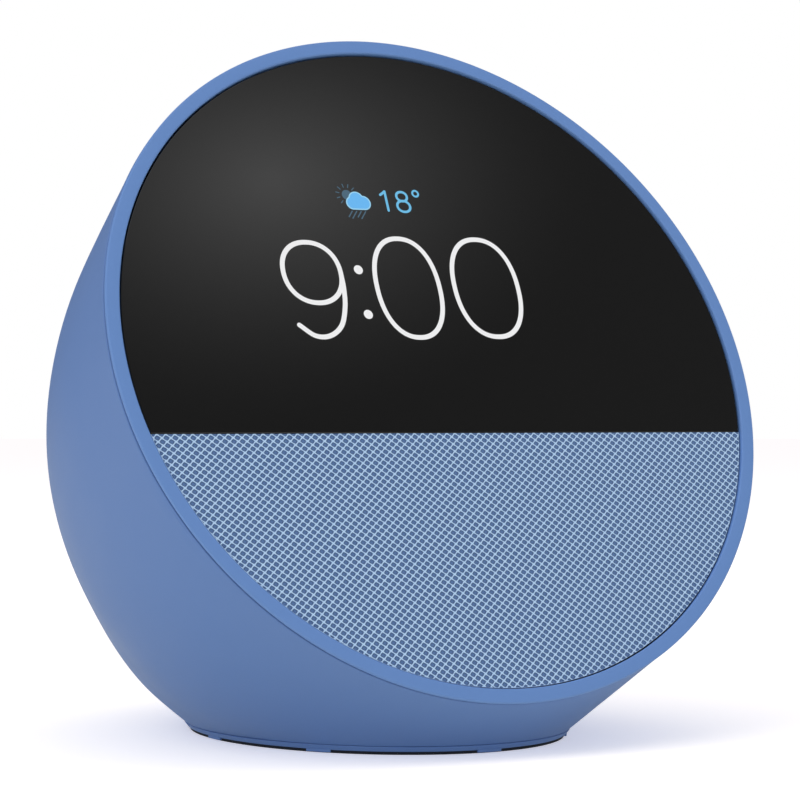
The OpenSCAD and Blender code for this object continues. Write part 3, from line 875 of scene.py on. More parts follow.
@dataclass
class Housing:
    """The rear shell with its key, microphone and power openings, and its inner bosses."""

    rim_radius: float = 56.5 * MM
    front: float = -0.92 * MM
    rim_land: float = 0.4 * MM
    rim_round: float = 0.20 * MM
    wall: float = 2.0 * MM
    crease_z: float = 1.4 * MM
    band_z: float = 2.6 * MM
    belly_cut: float = 5.0 * MM
    hole_inset: float = 2.9 * MM
    plate_top: float = 3.45 * MM
    belly_radius: float = 63.6 * MM
    belly_back: float = 22.0 * MM
    belly_z: float = 57.5 * MM
    rebate_radius: float = 55.1 * MM
    rebate_back: float = -4.65 * MM
    axis_start: float = 6.0 * MM
    knots: tuple[Point, ...] = (
        (56.4, 6.0), (55.6, 24.0), (51.5, 40.7), (43.2, 55.6), (32.8, 70.3), (19.3, 82.2), (0.0, 86.2),
    )
    columns: int = 224
    rows: int = 120
    smooth_behind: float = 3 * MM
    smooth_above: float = 3.5 * MM
    smooth_passes: int = 10
    boss_bore: float = 1.0 * MM
    boss_edge: float = 0.2 * MM
    boss_circle: float = 50.6 * MM
    base_screws: tuple[Point, ...] = ((0, -29), (21, 13), (-21, 13))

    def knot(self, i: int) -> Vector:
        """Return a knot of the outline, with one made up past each end."""
        if i < 0:
            return 2 * Vector(self.knots[0]) - Vector(self.knots[1])
        if i >= len(self.knots):
            return Vector((-self.knots[-2][0], self.knots[-2][1]))
        return Vector(self.knots[i])

    def outline(self, steps: int = 6) -> list[Point]:
        """Return the (radius, distance along the axis) outline of the rounded rear."""
        points = [
            catmull(self.knot(i - 1), self.knot(i), self.knot(i + 1), self.knot(i + 2), k / steps) * MM
            for i in range(len(self.knots) - 1)
            for k in range(steps)
        ]
        return [tuple(p) for p in points] + [(0.0, self.knots[-1][1] * MM)]

    def rear_point(self, t: float) -> Vector:
        """Return the outline's point at t of its last but one span, in metres."""
        last = len(self.knots) - 2
        return catmull(*(self.knot(last + k) for k in (-2, -1, 0, 1)), t) * MM

    def form(self) -> tuple[BVHTree, Vector]:
        """Make the outer form as one convex surface.

        Returns:
            The surface, for casting rays on, and the point inside it that they start from.
        """
        core = FACE.place(0, 0, -36 * MM)
        turned = revolved([(0.0, self.axis_start), *self.outline()], 192)
        bmesh.ops.transform(turned, matrix=BODY.matrix(), verts=turned.verts[:])
        rear = BVHTree.FromBMesh(turned)
        turned.free()
        belly = Vector((0.0, FACE.centre.y + self.belly_back, self.belly_z))
        probe = bmesh.new()
        bmesh.ops.create_uvsphere(probe, u_segments=144, v_segments=96, radius=1.0)
        cloud = bmesh.new()
        for vert in probe.verts:
            way = vert.co.normalized()
            hit = rear.ray_cast(core, way)[3]
            offset = core - belly
            along = way.dot(offset)
            ball = -along + math.sqrt(along ** 2 - offset.length_squared + self.belly_radius ** 2)
            reach = min(hit, ball)
            if way.z < 0:
                reach = min(reach, (core.z - self.belly_cut) / -way.z)
            if way.dot(FACE.normal()) > 0:
                gap = (FACE.place(0, 0, self.front) - core).dot(FACE.normal())
                reach = min(reach, gap / way.dot(FACE.normal()))
            cloud.verts.new(core + way * reach)
        probe.free()
        for n in (self.front, self.front - self.rim_land):
            bmesh.ops.create_circle(
                cloud, segments=288, radius=self.rim_radius,
                matrix=FACE.matrix() @ Matrix.Translation((0, 0, n)),
            )
        seat = bmesh.ops.create_circle(cloud, segments=192, radius=1.0)["verts"]
        for vert in seat:
            turn = math.atan2(vert.co.y, vert.co.x)
            vert.co = OVAL.at(BASE_CENTRE, turn, 0.0, self.crease_z)
        bmesh.ops.delete(cloud, geom=cloud.edges[:], context="EDGES_FACES")
        hull = bmesh.ops.convex_hull(cloud, input=cloud.verts[:], use_existing_faces=False)
        spare = [g for g in hull["geom_interior"] if isinstance(g, BMVert)]
        bmesh.ops.delete(cloud, geom=spare, context="VERTS")
        surface = BVHTree.FromBMesh(cloud)
        cloud.free()
        return surface, core

    def skin(self) -> BMesh:
        """Return the outer surface, open at the rim and at the base."""
        surface, core = self.form()
        bm = bmesh.new()
        turn = FACE.matrix().to_3x3().to_4x4()
        bmesh.ops.create_uvsphere(bm, u_segments=self.columns, v_segments=self.rows, radius=1.0, matrix=turn)
        for vert in bm.verts:
            vert.co = surface.ray_cast(core, vert.co.normalized())[0]
        inverse = FACE.matrix().inverted()
        free = [
            v for v in bm.verts
            if (inverse @ v.co).z < -self.smooth_behind and v.co.z > self.smooth_above
        ]
        for _ in range(self.smooth_passes):
            bmesh.ops.smooth_vert(
                bm, verts=free, factor=0.5, use_axis_x=True, use_axis_y=True, use_axis_z=True,
            )
        self.cut(bm, FACE.place(0, 0, self.front - self.rim_round), FACE.normal())
        self.cut(bm, Vector((0, 0, self.band_z)), Vector((0, 0, -1)))
        return bm

    @staticmethod
    def cut(bm: BMesh, point: Vector, normal: Vector, geom: Sequence | None = None) -> None:
        """Cut a mesh along a plane and drop what lies on the normal's side."""
        bmesh.ops.bisect_plane(
            bm, geom=list(geom) if geom else bm.verts[:] + bm.edges[:] + bm.faces[:],
            plane_co=point, plane_no=normal, clear_outer=True, dist=1e-7,
        )

    @staticmethod
    def on_face(radius: float, n: float) -> Callable[[Vector], Vector]:
        """Return a move that puts a point on a circle about the face's axis."""
        def move(point: Vector) -> Vector:
            """Return the point of the circle at the same angle."""
            local = FACE.matrix().inverted() @ point
            angle = math.atan2(local.y, local.x)
            return FACE.place(radius * math.cos(angle), radius * math.sin(angle), n)
        return move

    @staticmethod
    def on_base(inset: float, z: float, share: float = 1.0) -> Callable[[Vector], Vector]:
        """Return a move that brings a point towards the base's oval."""
        def move(point: Vector) -> Vector:
            """Return the point moved its share of the way to the oval."""
            goal = OVAL.at(BASE_CENTRE, OVAL.angle(point - BASE_CENTRE), inset, z)
            return point.lerp(goal, share)
        return move

    def closed(self) -> BMesh:
        """Return the shell as a closed wall of even thickness."""
        bm = self.skin()
        bmesh.ops.recalc_face_normals(bm, faces=bm.faces[:])
        bm.normal_update()
        sense = 1.0 if max(bm.verts, key=lambda v: v.co.y).normal.y > 0 else -1.0
        middle = FACE.centre.z / 4
        edges = [e for e in bm.edges if e.is_boundary]
        flat, bend = self.front - self.rim_round, self.rim_round
        inverse = FACE.matrix().inverted()
        rim = [e for e in edges if all(abs((inverse @ v.co).z - flat) < 1e-5 for v in e.verts)]
        on_rim = set(rim)
        foot = [e for e in edges if e not in on_rim and e.verts[0].co.z < middle]
        whole = bm.verts[:] + bm.edges[:] + bm.faces[:]
        copied = bmesh.ops.duplicate(bm, geom=whole)
        inner = [g for g in copied["geom"] if isinstance(g, BMVert)]
        shift = {v: v.normal * (-self.wall * sense) for v in inner}
        for vert, move in shift.items():
            vert.co += move
        inner_foot = [copied["edge_map"][e] for e in foot]
        kept = [g for g in copied["geom"] if g.is_valid]
        self.cut(bm, FACE.place(0, 0, self.rebate_back), FACE.normal(), kept)
        inner_rim = [
            e for e in bm.edges
            if e.is_boundary and all(abs((inverse @ v.co).z - self.rebate_back) < 1e-6 for v in e.verts)
        ]
        for vert in {v for e in rim for v in e.verts}:
            vert.co = self.on_face(self.rim_radius, flat)(vert.co)
        for radius, n in (
            (self.rim_radius - 0.07 * bend, self.front - 0.62 * bend),
            (self.rim_radius - 0.29 * bend, self.front - 0.29 * bend),
            (self.rim_radius - 0.62 * bend, self.front - 0.07 * bend),
            (self.rim_radius - bend, self.front),
            (self.rebate_radius, self.front),
            (self.rebate_radius, self.rebate_back),
        ):
            rim = extended(bm, rim, self.on_face(radius, n))
        bmesh.ops.bridge_loops(bm, edges=rim + inner_rim)
        for share in (0.6, 1.0):
            foot = extended(bm, foot, self.on_base(0.0, self.crease_z, share))
        foot = extended(bm, foot, self.on_base(self.hole_inset, self.crease_z))
        foot = extended(bm, foot, self.on_base(self.hole_inset, self.plate_top))
        bmesh.ops.bridge_loops(bm, edges=foot + inner_foot)
        return bm

    def openings(self, keys: "TopKeys", inlet: "PowerInlet") -> BMesh:
        """Return the tools that cut the key, microphone and power openings."""
        tools = bmesh.new()
        flare = 0.35 * MM
        top = keys.cap_top + 0.3 * MM
        cuts = [(a, keys.cap_radius + 0.3 * MM) for a in keys.angles]
        cuts += [(a, keys.port_radius) for a in keys.port_angles]
        for angle, radius in cuts:
            spread = min(flare, radius / 3)
            bore = revolved([
                (0.0, 50 * MM), (radius, 50 * MM), (radius, top - 0.55 * MM),
                (radius + spread, top), (radius + spread, top + 3 * MM), (0.0, top + 3 * MM),
            ], 96)
            absorb(tools, bore, BODY.key(angle, keys.along))
        radius = inlet.radius + 0.2 * MM
        bore = revolved([(0.0, -12 * MM), (radius, -12 * MM), (radius, 8 * MM), (0.0, 8 * MM)], 96)
        absorb(tools, bore, inlet.place(self))
        return tools

    def bosses(self) -> BMesh:
        """Return the screw bosses that stand inside the shell."""
        bm = bmesh.new()
        bore, edge = self.boss_bore, self.boss_edge

        def boss(radius: float, low: float, high: float) -> BMesh:
            """Return one boss between two heights, with its screw hole."""
            return revolved(filleted([
                (bore, low, 0), (radius, low, edge), (radius, high, edge), (bore, high, 0),
            ], 3), 32)

        for angle in (45, 135, 225, 315):
            turn = Matrix.Rotation(math.radians(angle), 4, "Z") @ Matrix.Translation((self.boss_circle, 0, 0))
            absorb(bm, boss(2.6 * MM, -14 * MM, -4.8 * MM), FACE.matrix() @ turn)
        for x, y in self.base_screws:
            spot = Matrix.Translation(BASE_CENTRE + Vector((x, y, 0)) * MM)
            absorb(bm, boss(2.4 * MM, 3.5 * MM, 9.0 * MM), spot)
        for angle in (-33, 33):
            place = BODY.key(math.radians(angle), 8 * MM)
            absorb(bm, boss(2.4 * MM, 46.4 * MM, 54.4 * MM), place)
        return bm

    def build(self, keys: "TopKeys", inlet: "PowerInlet") -> None:
        """Make the shell, cut its openings and dress it."""
        shell = finished("shell_skin", self.closed(), sharp=40)
        tools = finished("shell_tools", self.openings(keys, inlet))
        cut = shell.modifiers.new("openings", "BOOLEAN")
        cut.operation = "DIFFERENCE"
        cut.solver = "EXACT"
        cut.object = tools
        evaluated(shell)
        bpy.data.objects.remove(tools)
        shell.data.shade_smooth()
        shell.data.set_sharp_from_angle(angle=math.radians(32))
        dress(shell, "shell_blue", HOUSING, "rear_shell")
        dress(finished("shell_bosses", self.bosses()), "shell_blue", HOUSING)


# ---------------------------------------------------------------- the face


@dataclass
class FaceRing:
    """The flat ring round the face."""

    outer: float = 56.5 * MM
    inner: float = 54.2 * MM
    skirt: float = 54.9 * MM
    height: float = 0.5 * MM
    depth: float = 4.2 * MM

    def build(self) -> None:
        """Turn the ring with its rounded front edges and dress it."""
        outline = filleted([
            (self.inner, -self.depth, 0), (self.inner, 0, 0.28 * MM), (self.outer, 0, 0.24 * MM),
            (self.outer, -self.height, 0.06 * MM), (self.skirt, -self.height, 0),
            (self.skirt, -self.depth, 0),
        ], 6)
        ring = finished("face_ring", revolved(outline, 288), FACE.matrix())
        dress(ring, "ring_blue", HOUSING, "bezel_ring")


@dataclass
class Lens:
    """The half-round black lens with what the lit screen behind it shows."""

    radius: float = 53.9 * MM
    split: float = -12.70 * MM
    front: float = -0.5 * MM
    thickness: float = 1.1 * MM
    edge: float = 0.10 * MM

    def pane(self) -> BMesh:
        """Return the lens in the face's frame."""
        flat = segment(self.radius, 288, self.split, 1)
        return slab(flat, self.front - self.thickness, self.front, self.edge)

    def build(self) -> None:
        """Make the lens and dress it."""
        pane = finished("lens_pane", self.pane(), FACE.matrix(), sharp=10)
        dress(pane, "lens_black", HOUSING, "display_lens")


@dataclass
class ScreenPicture:
    """The clock, the weather sign and the temperature, as thin lit shapes on the lens."""

    front: float = -0.5 * MM
    rise: float = 0.015 * MM
    sink: float = 0.05 * MM
    stroke: float = 0.80 * MM
    digit_height: float = 18.0 * MM

    def ribbon(self, route: Sequence[Vector], width: float, closed: bool = False) -> BMesh:
        """Sweep a flat stroke of even width along a route.

        Args:
            route: Points of its middle line.
            width: Full width.
            closed: Whether the route is a loop; if not, its ends are round.

        Returns:
            The flat stroke.
        """
        half = width / 2
        points = [p.copy() for p in route]
        widths = [half] * len(points)
        if not closed:
            lead = (points[0] - points[1]).normalized()
            tail = (points[-1] - points[-2]).normalized()
            turns = [math.radians(a) for a in (85, 65, 45, 22)]
            points = (
                [points[0] + lead * half * math.sin(a) for a in turns] + points
                + [points[-1] + tail * half * math.sin(a) for a in reversed(turns)]
            )
            caps = [half * math.cos(a) for a in turns]
            widths = caps + widths + caps[::-1]
        count = len(points)
        bm = bmesh.new()
        rungs: list[BMEdge] = []
        for i, point in enumerate(points):
            after = points[(i + 1) % count] if closed else points[min(i + 1, count - 1)]
            before = points[i - 1] if closed else points[max(i - 1, 0)]
            way = (after - before).normalized()
            side = Vector((-way.y, way.x)) * widths[i]
            ends = [Vector((*(point + side), 0.0)), Vector((*(point - side), 0.0))]
            if not rungs:
                rungs.append(bm.edges.new([bm.verts.new(e) for e in ends]))
                continue
            grown = bmesh.ops.extrude_edge_only(bm, edges=[rungs[-1]])["geom"]
            verts = [g for g in grown if isinstance(g, BMVert)]
            order = verts if (verts[0].co - rungs[-1].verts[0].co).length < 1e-12 else verts[::-1]
            for vert, end in zip(order, ends):
                vert.co = end
            rungs.append(next(g for g in grown if isinstance(g, BMEdge) and set(g.verts) == set(verts)))
        if closed:
            bmesh.ops.bridge_loops(bm, edges=[rungs[-1], rungs[0]])
        return bm

    @staticmethod
    def oval(centre: Point, width: float, height: float, power: float = 2.0, count: int = 72) -> list[Vector]:
        """Return the points of a rounded oval; a higher power makes fuller corners."""
        points = []
        for k in range(count):
            c, s = math.cos(math.tau * k / count), math.sin(math.tau * k / count)
            x = math.copysign(abs(c) ** (2 / power), c) * width / 2
            y = math.copysign(abs(s) ** (2 / power), s) * height / 2
            points.append(Vector((centre[0] + x, centre[1] + y)))
        return points

    @staticmethod
    def smooth(knots: Sequence[Point], steps: int = 8) -> list[Vector]:
        """Return a smooth route through a few knots, given in millimetres."""
        spots = [Vector(k) * MM for k in knots]
        ends = [2 * spots[0] - spots[1], *spots, 2 * spots[-1] - spots[-2]]
        route = [
            catmull(ends[i], ends[i + 1], ends[i + 2], ends[i + 3], k / steps)
            for i in range(len(spots) - 1)
            for k in range(steps)
        ]
        return route + [spots[-1]]

    def disc(self, centre: Point, radius: float) -> BMesh:
        """Return a flat disc, with its centre in millimetres."""
        bm = bmesh.new()
        place = Matrix.Translation((centre[0] * MM, centre[1] * MM, 0))
        bmesh.ops.create_circle(bm, cap_ends=True, segments=32, radius=radius, matrix=place)
        return bm

    def lit(self, name: str, finish: str, shapes: Iterable[BMesh], lift: float = 0.0) -> None:
        """Raise flat shapes off the lens and dress them as one lit piece.

        Args:
            name: Name of the piece.
            finish: Its lit finish.
            shapes: Its flat shapes, which are freed.
            lift: How much further than usual it stands off the lens.
        """
        whole = bmesh.new()
        top = self.front + self.rise + lift
        for shape in shapes:
            absorb(whole, slab(shape, self.front - self.sink, top, 0))
        mapped_flat(whole, "pixels")
        dress(finished(name, whole, FACE.matrix()), finish, HOUSING)

    def nought(self, u: float, v: float, width: float) -> BMesh:
        """Return one nought of the clock, with its centre and width in millimetres."""
        middle = self.oval(
            (u * MM, v * MM), width * MM - self.stroke, self.digit_height - self.stroke, 2.25, 96,
        )
        return self.ribbon(middle, self.stroke, closed=True)

    def nine(self, u: float) -> list[BMesh]:
        """Return the nine of the clock, centred at u in millimetres."""
        bowl = self.oval(((u - 0.05) * MM, 14.2 * MM), 10.0 * MM, 10.4 * MM, 2.15)
        tail = self.smooth([
            (u + 4.95, 14.2), (u + 4.9, 11.6), (u + 4.4, 8.4), (u + 3.1, 5.2),
            (u + 0.8, 3.45), (u - 1.8, 3.4), (u - 4.2, 5.15),
        ])
        return [self.ribbon(bowl, self.stroke, closed=True), self.ribbon(tail, self.stroke)]

    @staticmethod
    def cloud_outline() -> list[Vector]:
        """Return the outline of the cloud, round puffs over a flat bottom."""
        puffs = [(-10.35, 26.65, 1.05), (-9.55, 27.35, 1.25), (-8.35, 26.75, 1.15), (-9.4, 26.3, 1.0)]
        centre = Vector((-9.4, 26.7))
        floor = 25.6
        route = []
        for k in range(96):
            way = Vector((math.cos(math.tau * k / 96), math.sin(math.tau * k / 96)))
            reach = 0.0
            for x, y, radius in puffs:
                offset = centre - Vector((x, y))
                along = way.dot(offset)
                inside = along ** 2 - offset.length_squared + radius ** 2
                if inside > 0:
                    reach = max(reach, -along + math.sqrt(inside))
            spot = centre + way * reach
            route.append(Vector((spot.x, max(spot.y, floor))) * MM)
        return route

    def cloud(self) -> BMesh:
        """Return the filled cloud."""
        bm = bmesh.new()
        bm.faces.new([bm.verts.new((*spot, 0.0)) for spot in self.cloud_outline()])
        return bm

    def temperature(self) -> list[BMesh]:
        """Return the two figures and the degree ring of the temperature."""
        thin = 0.42 * MM
        one = self.smooth([(-5.0, 28.35), (-4.55, 28.65), (-4.1, 29.0)], 2)
        stem = self.smooth([(-4.1, 29.0), (-4.1, 27.2), (-4.1, 25.6)], 2)
        top = self.oval((-1.15 * MM, 28.2 * MM), 1.9 * MM, 1.65 * MM, 2.1, 40)
        low = self.oval((-1.15 * MM, 26.45 * MM), 2.3 * MM, 1.95 * MM, 2.1, 40)
        degree = self.oval((1.5 * MM, 28.85 * MM), 1.05 * MM, 1.05 * MM, 2.0, 32)
        return [
            self.ribbon(one, thin), self.ribbon(stem, thin), self.ribbon(top, thin, True),
            self.ribbon(low, thin, True), self.ribbon(degree, 0.34 * MM, True),
        ]

    def sun_and_rain(self) -> list[BMesh]:
        """Return the sun with its rays and the slanted rain strokes."""
        sun = Vector((-11.05, 28.05))
        shapes = [self.disc((sun.x, sun.y), 0.9 * MM)]
        for k in range(7):
            way = Vector((math.cos(math.radians(42 + 31 * k)), math.sin(math.radians(42 + 31 * k))))
            shapes.append(self.ribbon([(sun + way * 1.4) * MM, (sun + way * 1.95) * MM], 0.16 * MM))
        for k in range(4):
            start = Vector((-10.75 + 0.8 * k, 25.2))
            slant = Vector((-0.95, -1.25)) * (1.0 if k % 2 else 0.8)
            shapes.append(self.ribbon([start * MM, (start + slant) * MM], 0.2 * MM))
        return shapes

    def build(self) -> None:
        """Make and dress all that the screen shows."""
        clock = [self.nought(-3.7, 12.0, 12.1), self.nought(10.65, 12.35, 12.6), *self.nine(-20.2)]
        clock += [self.disc((-12.0, v), 0.78 * MM) for v in (14.9, 7.2)]
        self.lit("clock_time", "clock_white", clock)
        self.lit("temperature", "reading_blue", self.temperature())
        self.lit("weather_cloud", "cloud_blue", [self.cloud()], self.rise)
        rim = self.ribbon(self.cloud_outline(), 0.2 * MM, closed=True)
        self.lit("weather_cloud_rim", "rim_blue", [rim], 2 * self.rise)
        self.lit("weather_sun_rain", "sun_grey", self.sun_and_rain())


@dataclass
class Grille:
    """The knitted cloth over the loudspeaker: a lattice of threads round open pits."""

    radius: float = 53.95 * MM
    split: float = -12.80 * MM
    front: float = -0.5 * MM
    thickness: float = 0.5 * MM
    pitch_u: float = 1.43 * MM
    pitch_v: float = 1.21 * MM
    thread: float = 0.11 * MM
    pit_depth: float = 0.09 * MM
    knot_rise: float = 0.02 * MM
    reach: int = 132
    cut: tuple[float, float] = field(default=(107.8 * MM, 41.1 * MM))

    def lattice(self) -> BMesh:
        """Return the flat lattice of diamond cells that reach into the outline."""
        bm = bmesh.new()
        bmesh.ops.create_grid(bm, x_segments=self.reach, y_segments=self.reach, size=self.reach / 2)
        middle = (self.split - self.radius) / 2
        for vert in bm.verts:
            i, j = vert.co.x, vert.co.y
            vert.co = Vector(((i - j) * self.pitch_u / 2, (i + j) * self.pitch_v / 2 + middle, 0))
        outside = [
            f for f in bm.faces
            if all(v.co.xy.length >= self.radius or v.co.y >= self.split for v in f.verts)
        ]
        bmesh.ops.delete(bm, geom=outside, context="FACES")
        return bm

    def knitted(self) -> bpy.types.Object:
        """Sink a pit in each cell and round the threads between them."""
        bm = self.lattice()
        mask = bm.verts.layers.float.new("pit")
        for vert in bm.verts:
            vert.co.z = self.knot_rise
        cells = bm.faces[:]
        bmesh.ops.inset_individual(
            bm, faces=cells, thickness=self.thread, depth=0.0, use_even_offset=True,
        )
        for face in cells:
            for vert in face.verts:
                vert.co.z = -self.pit_depth
                vert[mask] = 1.0
        mesh = bpy.data.meshes.new("grille_cloth")
        bm.to_mesh(mesh)
        bm.free()
        cloth = bpy.data.objects.new("grille_cloth", mesh)
        bpy.context.scene.collection.objects.link(cloth)
        rounding = cloth.modifiers.new("rounding", "SUBSURF")
        rounding.levels = 1
        rounding.render_levels = 1
        evaluated(cloth)
        return cloth

    def closed(self, cloth: bpy.types.Object) -> None:
        """Close the cloth behind, well past the depth that it is trimmed to."""
        bm = bmesh.new()
        bm.from_mesh(cloth.data)
        edge = [e for e in bm.edges if e.is_boundary]
        back = extended(bm, edge, lambda p: Vector((p.x, p.y, -3 * self.thickness)))
        bmesh.ops.holes_fill(bm, edges=back, sides=0)
        bmesh.ops.recalc_face_normals(bm, faces=bm.faces[:])
        mapped_flat(bm, "cloth")
        bm.to_mesh(cloth.data)
        bm.free()

    def trimmed(self, cloth: bpy.types.Object) -> None:
        """Cut the cloth to the segment below the lens and put it in its place."""
        flat = segment(self.radius, 256, self.split, -1)
        outline = finished("cloth_outline", slab(flat, -self.thickness, 1 * MM, 0))
        cut = cloth.modifiers.new("outline", "BOOLEAN")
        cut.operation = "INTERSECT"
        cut.solver = "EXACT"
        cut.object = outline
        evaluated(cloth)
        bpy.data.objects.remove(outline)
        cloth.data.transform(FACE.matrix() @ Matrix.Translation((0, 0, self.front)))
        cloth.data.shade_smooth()
        cloth.data.set_sharp_from_angle(angle=math.radians(60))

    def build(self) -> None:
        cloth = self.knitted()
        self.closed(cloth)
        self.trimmed(cloth)
        dress(cloth, "grille_fabric", HOUSING, "speaker_fabric")


# ---------------------------------------------------------------- keys, inlet and base


class KeySign(Enum):
    """What a key's raised sign shows."""

    MINUS = "minus"
    MUTE = "mute"
    PLUS = "plus"


@dataclass
class TopKeys:
    """The three sprung keys on top and the microphone ports between them."""

    cap_radius: float = 5.0 * MM
    cap_top: float = 56.1 * MM
    flange: float = 52.9 * MM
    along: float = 8.0 * MM
    port_radius: float = 0.6 * MM
    pitch: float = math.radians(18)

    @property
    def angles(self) -> tuple[float, float, float]:
        """The angles of the keys about the body axis."""
        return (-self.pitch, 0.0, self.pitch)

    @property
    def port_angles(self) -> tuple[float, float]:
        """The angles of the microphone ports about the body axis."""
        return (-self.pitch / 2, self.pitch / 2)

    def cap(self) -> BMesh:
        """Return a key cap with its flange and its stem."""
        dish = 0.12 * MM
        under = self.flange - 1.2 * MM
        outline = filleted([
            (0.0, under - 1.8 * MM, 0), (1.6 * MM, under - 1.8 * MM, 0.2 * MM), (1.6 * MM, under, 0),
            (self.cap_radius + 1.1 * MM, under, 0.15 * MM),
            (self.cap_radius + 1.1 * MM, self.flange, 0.15 * MM), (self.cap_radius, self.flange, 0.1 * MM),
            (self.cap_radius, self.cap_top, 0.45 * MM),
            (self.cap_radius * 0.5, self.cap_top - dish * 0.8, 1.5 * MM), (0.0, self.cap_top - dish, 0),
        ], 5)
        return revolved(outline, 96)

    def sign(self, kind: KeySign) -> BMesh:
        """Return the raised sign of a key, standing on its dished top."""
        bm = bmesh.new()
        height = Matrix.Translation((0, 0, self.cap_top - 0.06 * MM))
        bar = Vector((3.4 * MM, 0.5 * MM, 0.3 * MM))
        if kind is KeySign.MUTE:
            tube = revolved(filleted([
                (1.25 * MM, -0.15 * MM, 0), (1.7 * MM, -0.15 * MM, 0), (1.7 * MM, 0.15 * MM, 0.1 * MM),
                (1.25 * MM, 0.15 * MM, 0.1 * MM),
            ], 3), 48)
            absorb(bm, tube, height)
            slash = soft_box(Vector((2.6 * MM, 0.4 * MM, 0.28 * MM)), 0.08 * MM)
            absorb(bm, slash, height @ Matrix.Rotation(math.radians(45), 4, "Z"))
            return bm
        for turn in range(2 if kind is KeySign.PLUS else 1):
            absorb(bm, soft_box(bar, 0.1 * MM), height @ Matrix.Rotation(turn * math.pi / 2, 4, "Z"))
        return bm

    def build(self) -> None:
        """Make and dress the three keys."""
        rows = zip(
            self.angles, KeySign,
            ("key_volume_down", "key_microphone", "key_volume_up"),
            ("volume_down_cap", "microphone_cap", "volume_up_cap"),
        )
        for angle, sign, node, body in rows:
            bm = self.cap()
            absorb(bm, self.sign(sign))
            piece = finished(f"{node}_cap", bm, BODY.key(angle, self.along))
            dress(piece, "key_blue", body, node)


@dataclass
class PowerInlet:
    """The round recess that the power plug sits in."""

    radius: float = 7.0 * MM
    recess: float = 5.2 * MM
    hole: float = 2.8 * MM
    back: float = -5.5 * MM
    floor: float = -4.3 * MM
    front: float = 0.4 * MM
    sink: float = 1.1 * MM

    def place(self, housing: Housing) -> Matrix:
        """Return the frame of the inlet, with local z out of the socket."""
        at, beside = housing.rear_point(0.8), housing.rear_point(0.85)
        tilt = math.atan2(beside.y - at.y, at.x - beside.x)
        spot = Matrix.Translation((0, -at.x, at.y)) @ Matrix.Rotation(tilt, 4, "X")
        return BODY.matrix() @ spot @ Matrix.Translation((0, 0, -self.sink))

    def build(self, housing: Housing) -> None:
        """Make and dress the moulded recess."""
        outline = filleted([
            (self.hole, self.back, 0), (self.radius, self.back, 0.2 * MM),
            (self.radius, self.front, 0.3 * MM), (self.recess, self.front, 0.45 * MM),
            (self.recess, self.floor, 0.3 * MM), (self.hole, self.floor, 0.15 * MM),
        ], 5)
        ring = finished("inlet_recess", revolved(outline, 96), self.place(housing))
        dress(ring, "ring_blue", HOUSING, "jack_bezel")


@dataclass
class Base:
    """The base plate with its lip, and the rubber foot under it."""

    foot_height: float = 0.5 * MM
    foot_inset: float = 0.9 * MM
    lip_top: float = 1.36 * MM
    lip_taper: float = 0.5 * MM
    edge: float = 0.14 * MM
    plug_inset: float = 3.0 * MM
    plug_top: float = 3.4 * MM
    tab_count: int = 8
    tab_width: float = 4.2 * MM
    tab_low: float = 0.15 * MM

    def ringed(self, rows: Sequence[Point], steps: int = 224) -> BMesh:
        """Build a closed disc from (inset, height) rows of the oval.

        Args:
            rows: The rows, from the middle of one side round to the other.
            steps: Points of each row.

        Returns:
            The solid.
        """
        bm = bmesh.new()
        loop: list[BMEdge] = []
        for inset, z in rows:
            if not loop:
                bmesh.ops.create_circle(bm, segments=steps, radius=1.0, cap_ends=True)
                for vert in bm.verts:
                    vert.co = OVAL.at(Vector(), math.atan2(vert.co.y, vert.co.x), inset, z)
                loop = bm.edges[:]
                continue
            loop = extended(
                bm, loop, lambda p: OVAL.at(Vector(), OVAL.angle(p), inset, z),
            )
        bmesh.ops.holes_fill(bm, edges=loop, sides=0)
        bmesh.ops.recalc_face_normals(bm, faces=bm.faces[:])
        return bm

    def tab(self, turn: float) -> BMesh:
        """Return one of the short tabs that reach down over the foot."""
        bm = soft_box(Vector((1.0, 1.0, self.foot_height)), 0.05 * MM)
        along = [e for e in bm.edges if abs(e.verts[0].co.x - e.verts[1].co.x) > 0.5]
        bmesh.ops.subdivide_edges(bm, edges=along, cuts=7, use_grid_fill=True)
        outer, inner = self.lip_taper, self.foot_inset - 0.06 * MM
        spot = OVAL.at(Vector(), turn, 0, 0)
        beside = OVAL.at(Vector(), turn + 0.01, 0, 0)
        span = self.tab_width / ((beside - spot).length / 0.01)
        for vert in bm.verts:
            inset = inner + (vert.co.y + 0.5) * (outer - inner)
            z = vert.co.z + self.tab_low + self.foot_height / 2
            vert.co = OVAL.at(Vector(), turn + vert.co.x * span, inset, z)
        return bm

    def build(self) -> None:
        """Make and dress the plate and the foot."""
        place = Matrix.Translation(BASE_CENTRE)
        low, top, edge, taper = self.foot_height, self.lip_top, self.edge, self.lip_taper
        plate = self.ringed([
            (taper + edge, low), (taper, low + edge * 0.5), (taper * 0.8, low + edge * 1.5),
            (0.0, top - edge), (edge * 0.3, top - edge * 0.3), (edge, top),
            (self.plug_inset, top), (self.plug_inset, self.plug_top),
        ])
        for k in range(self.tab_count):
            spot = math.tau * k / self.tab_count
            arm = Vector((math.cos(spot), math.sin(spot), 0))
            absorb(plate, self.tab(OVAL.angle(arm)))
        dress(finished("base_lip", plate, place), "shell_blue", HOUSING, "base_plate")
        inset = self.foot_inset
        # The foot's near-black finish is partly painted shade of the gap under the lip.
        pad = self.ringed([
            (inset + 0.15 * MM, 0.0), (inset + 0.04 * MM, 0.04 * MM), (inset, 0.15 * MM), (inset, low),
        ])
        dress(finished("foot_disc", pad, place), "foot_rubber", HOUSING, "foot_pad")


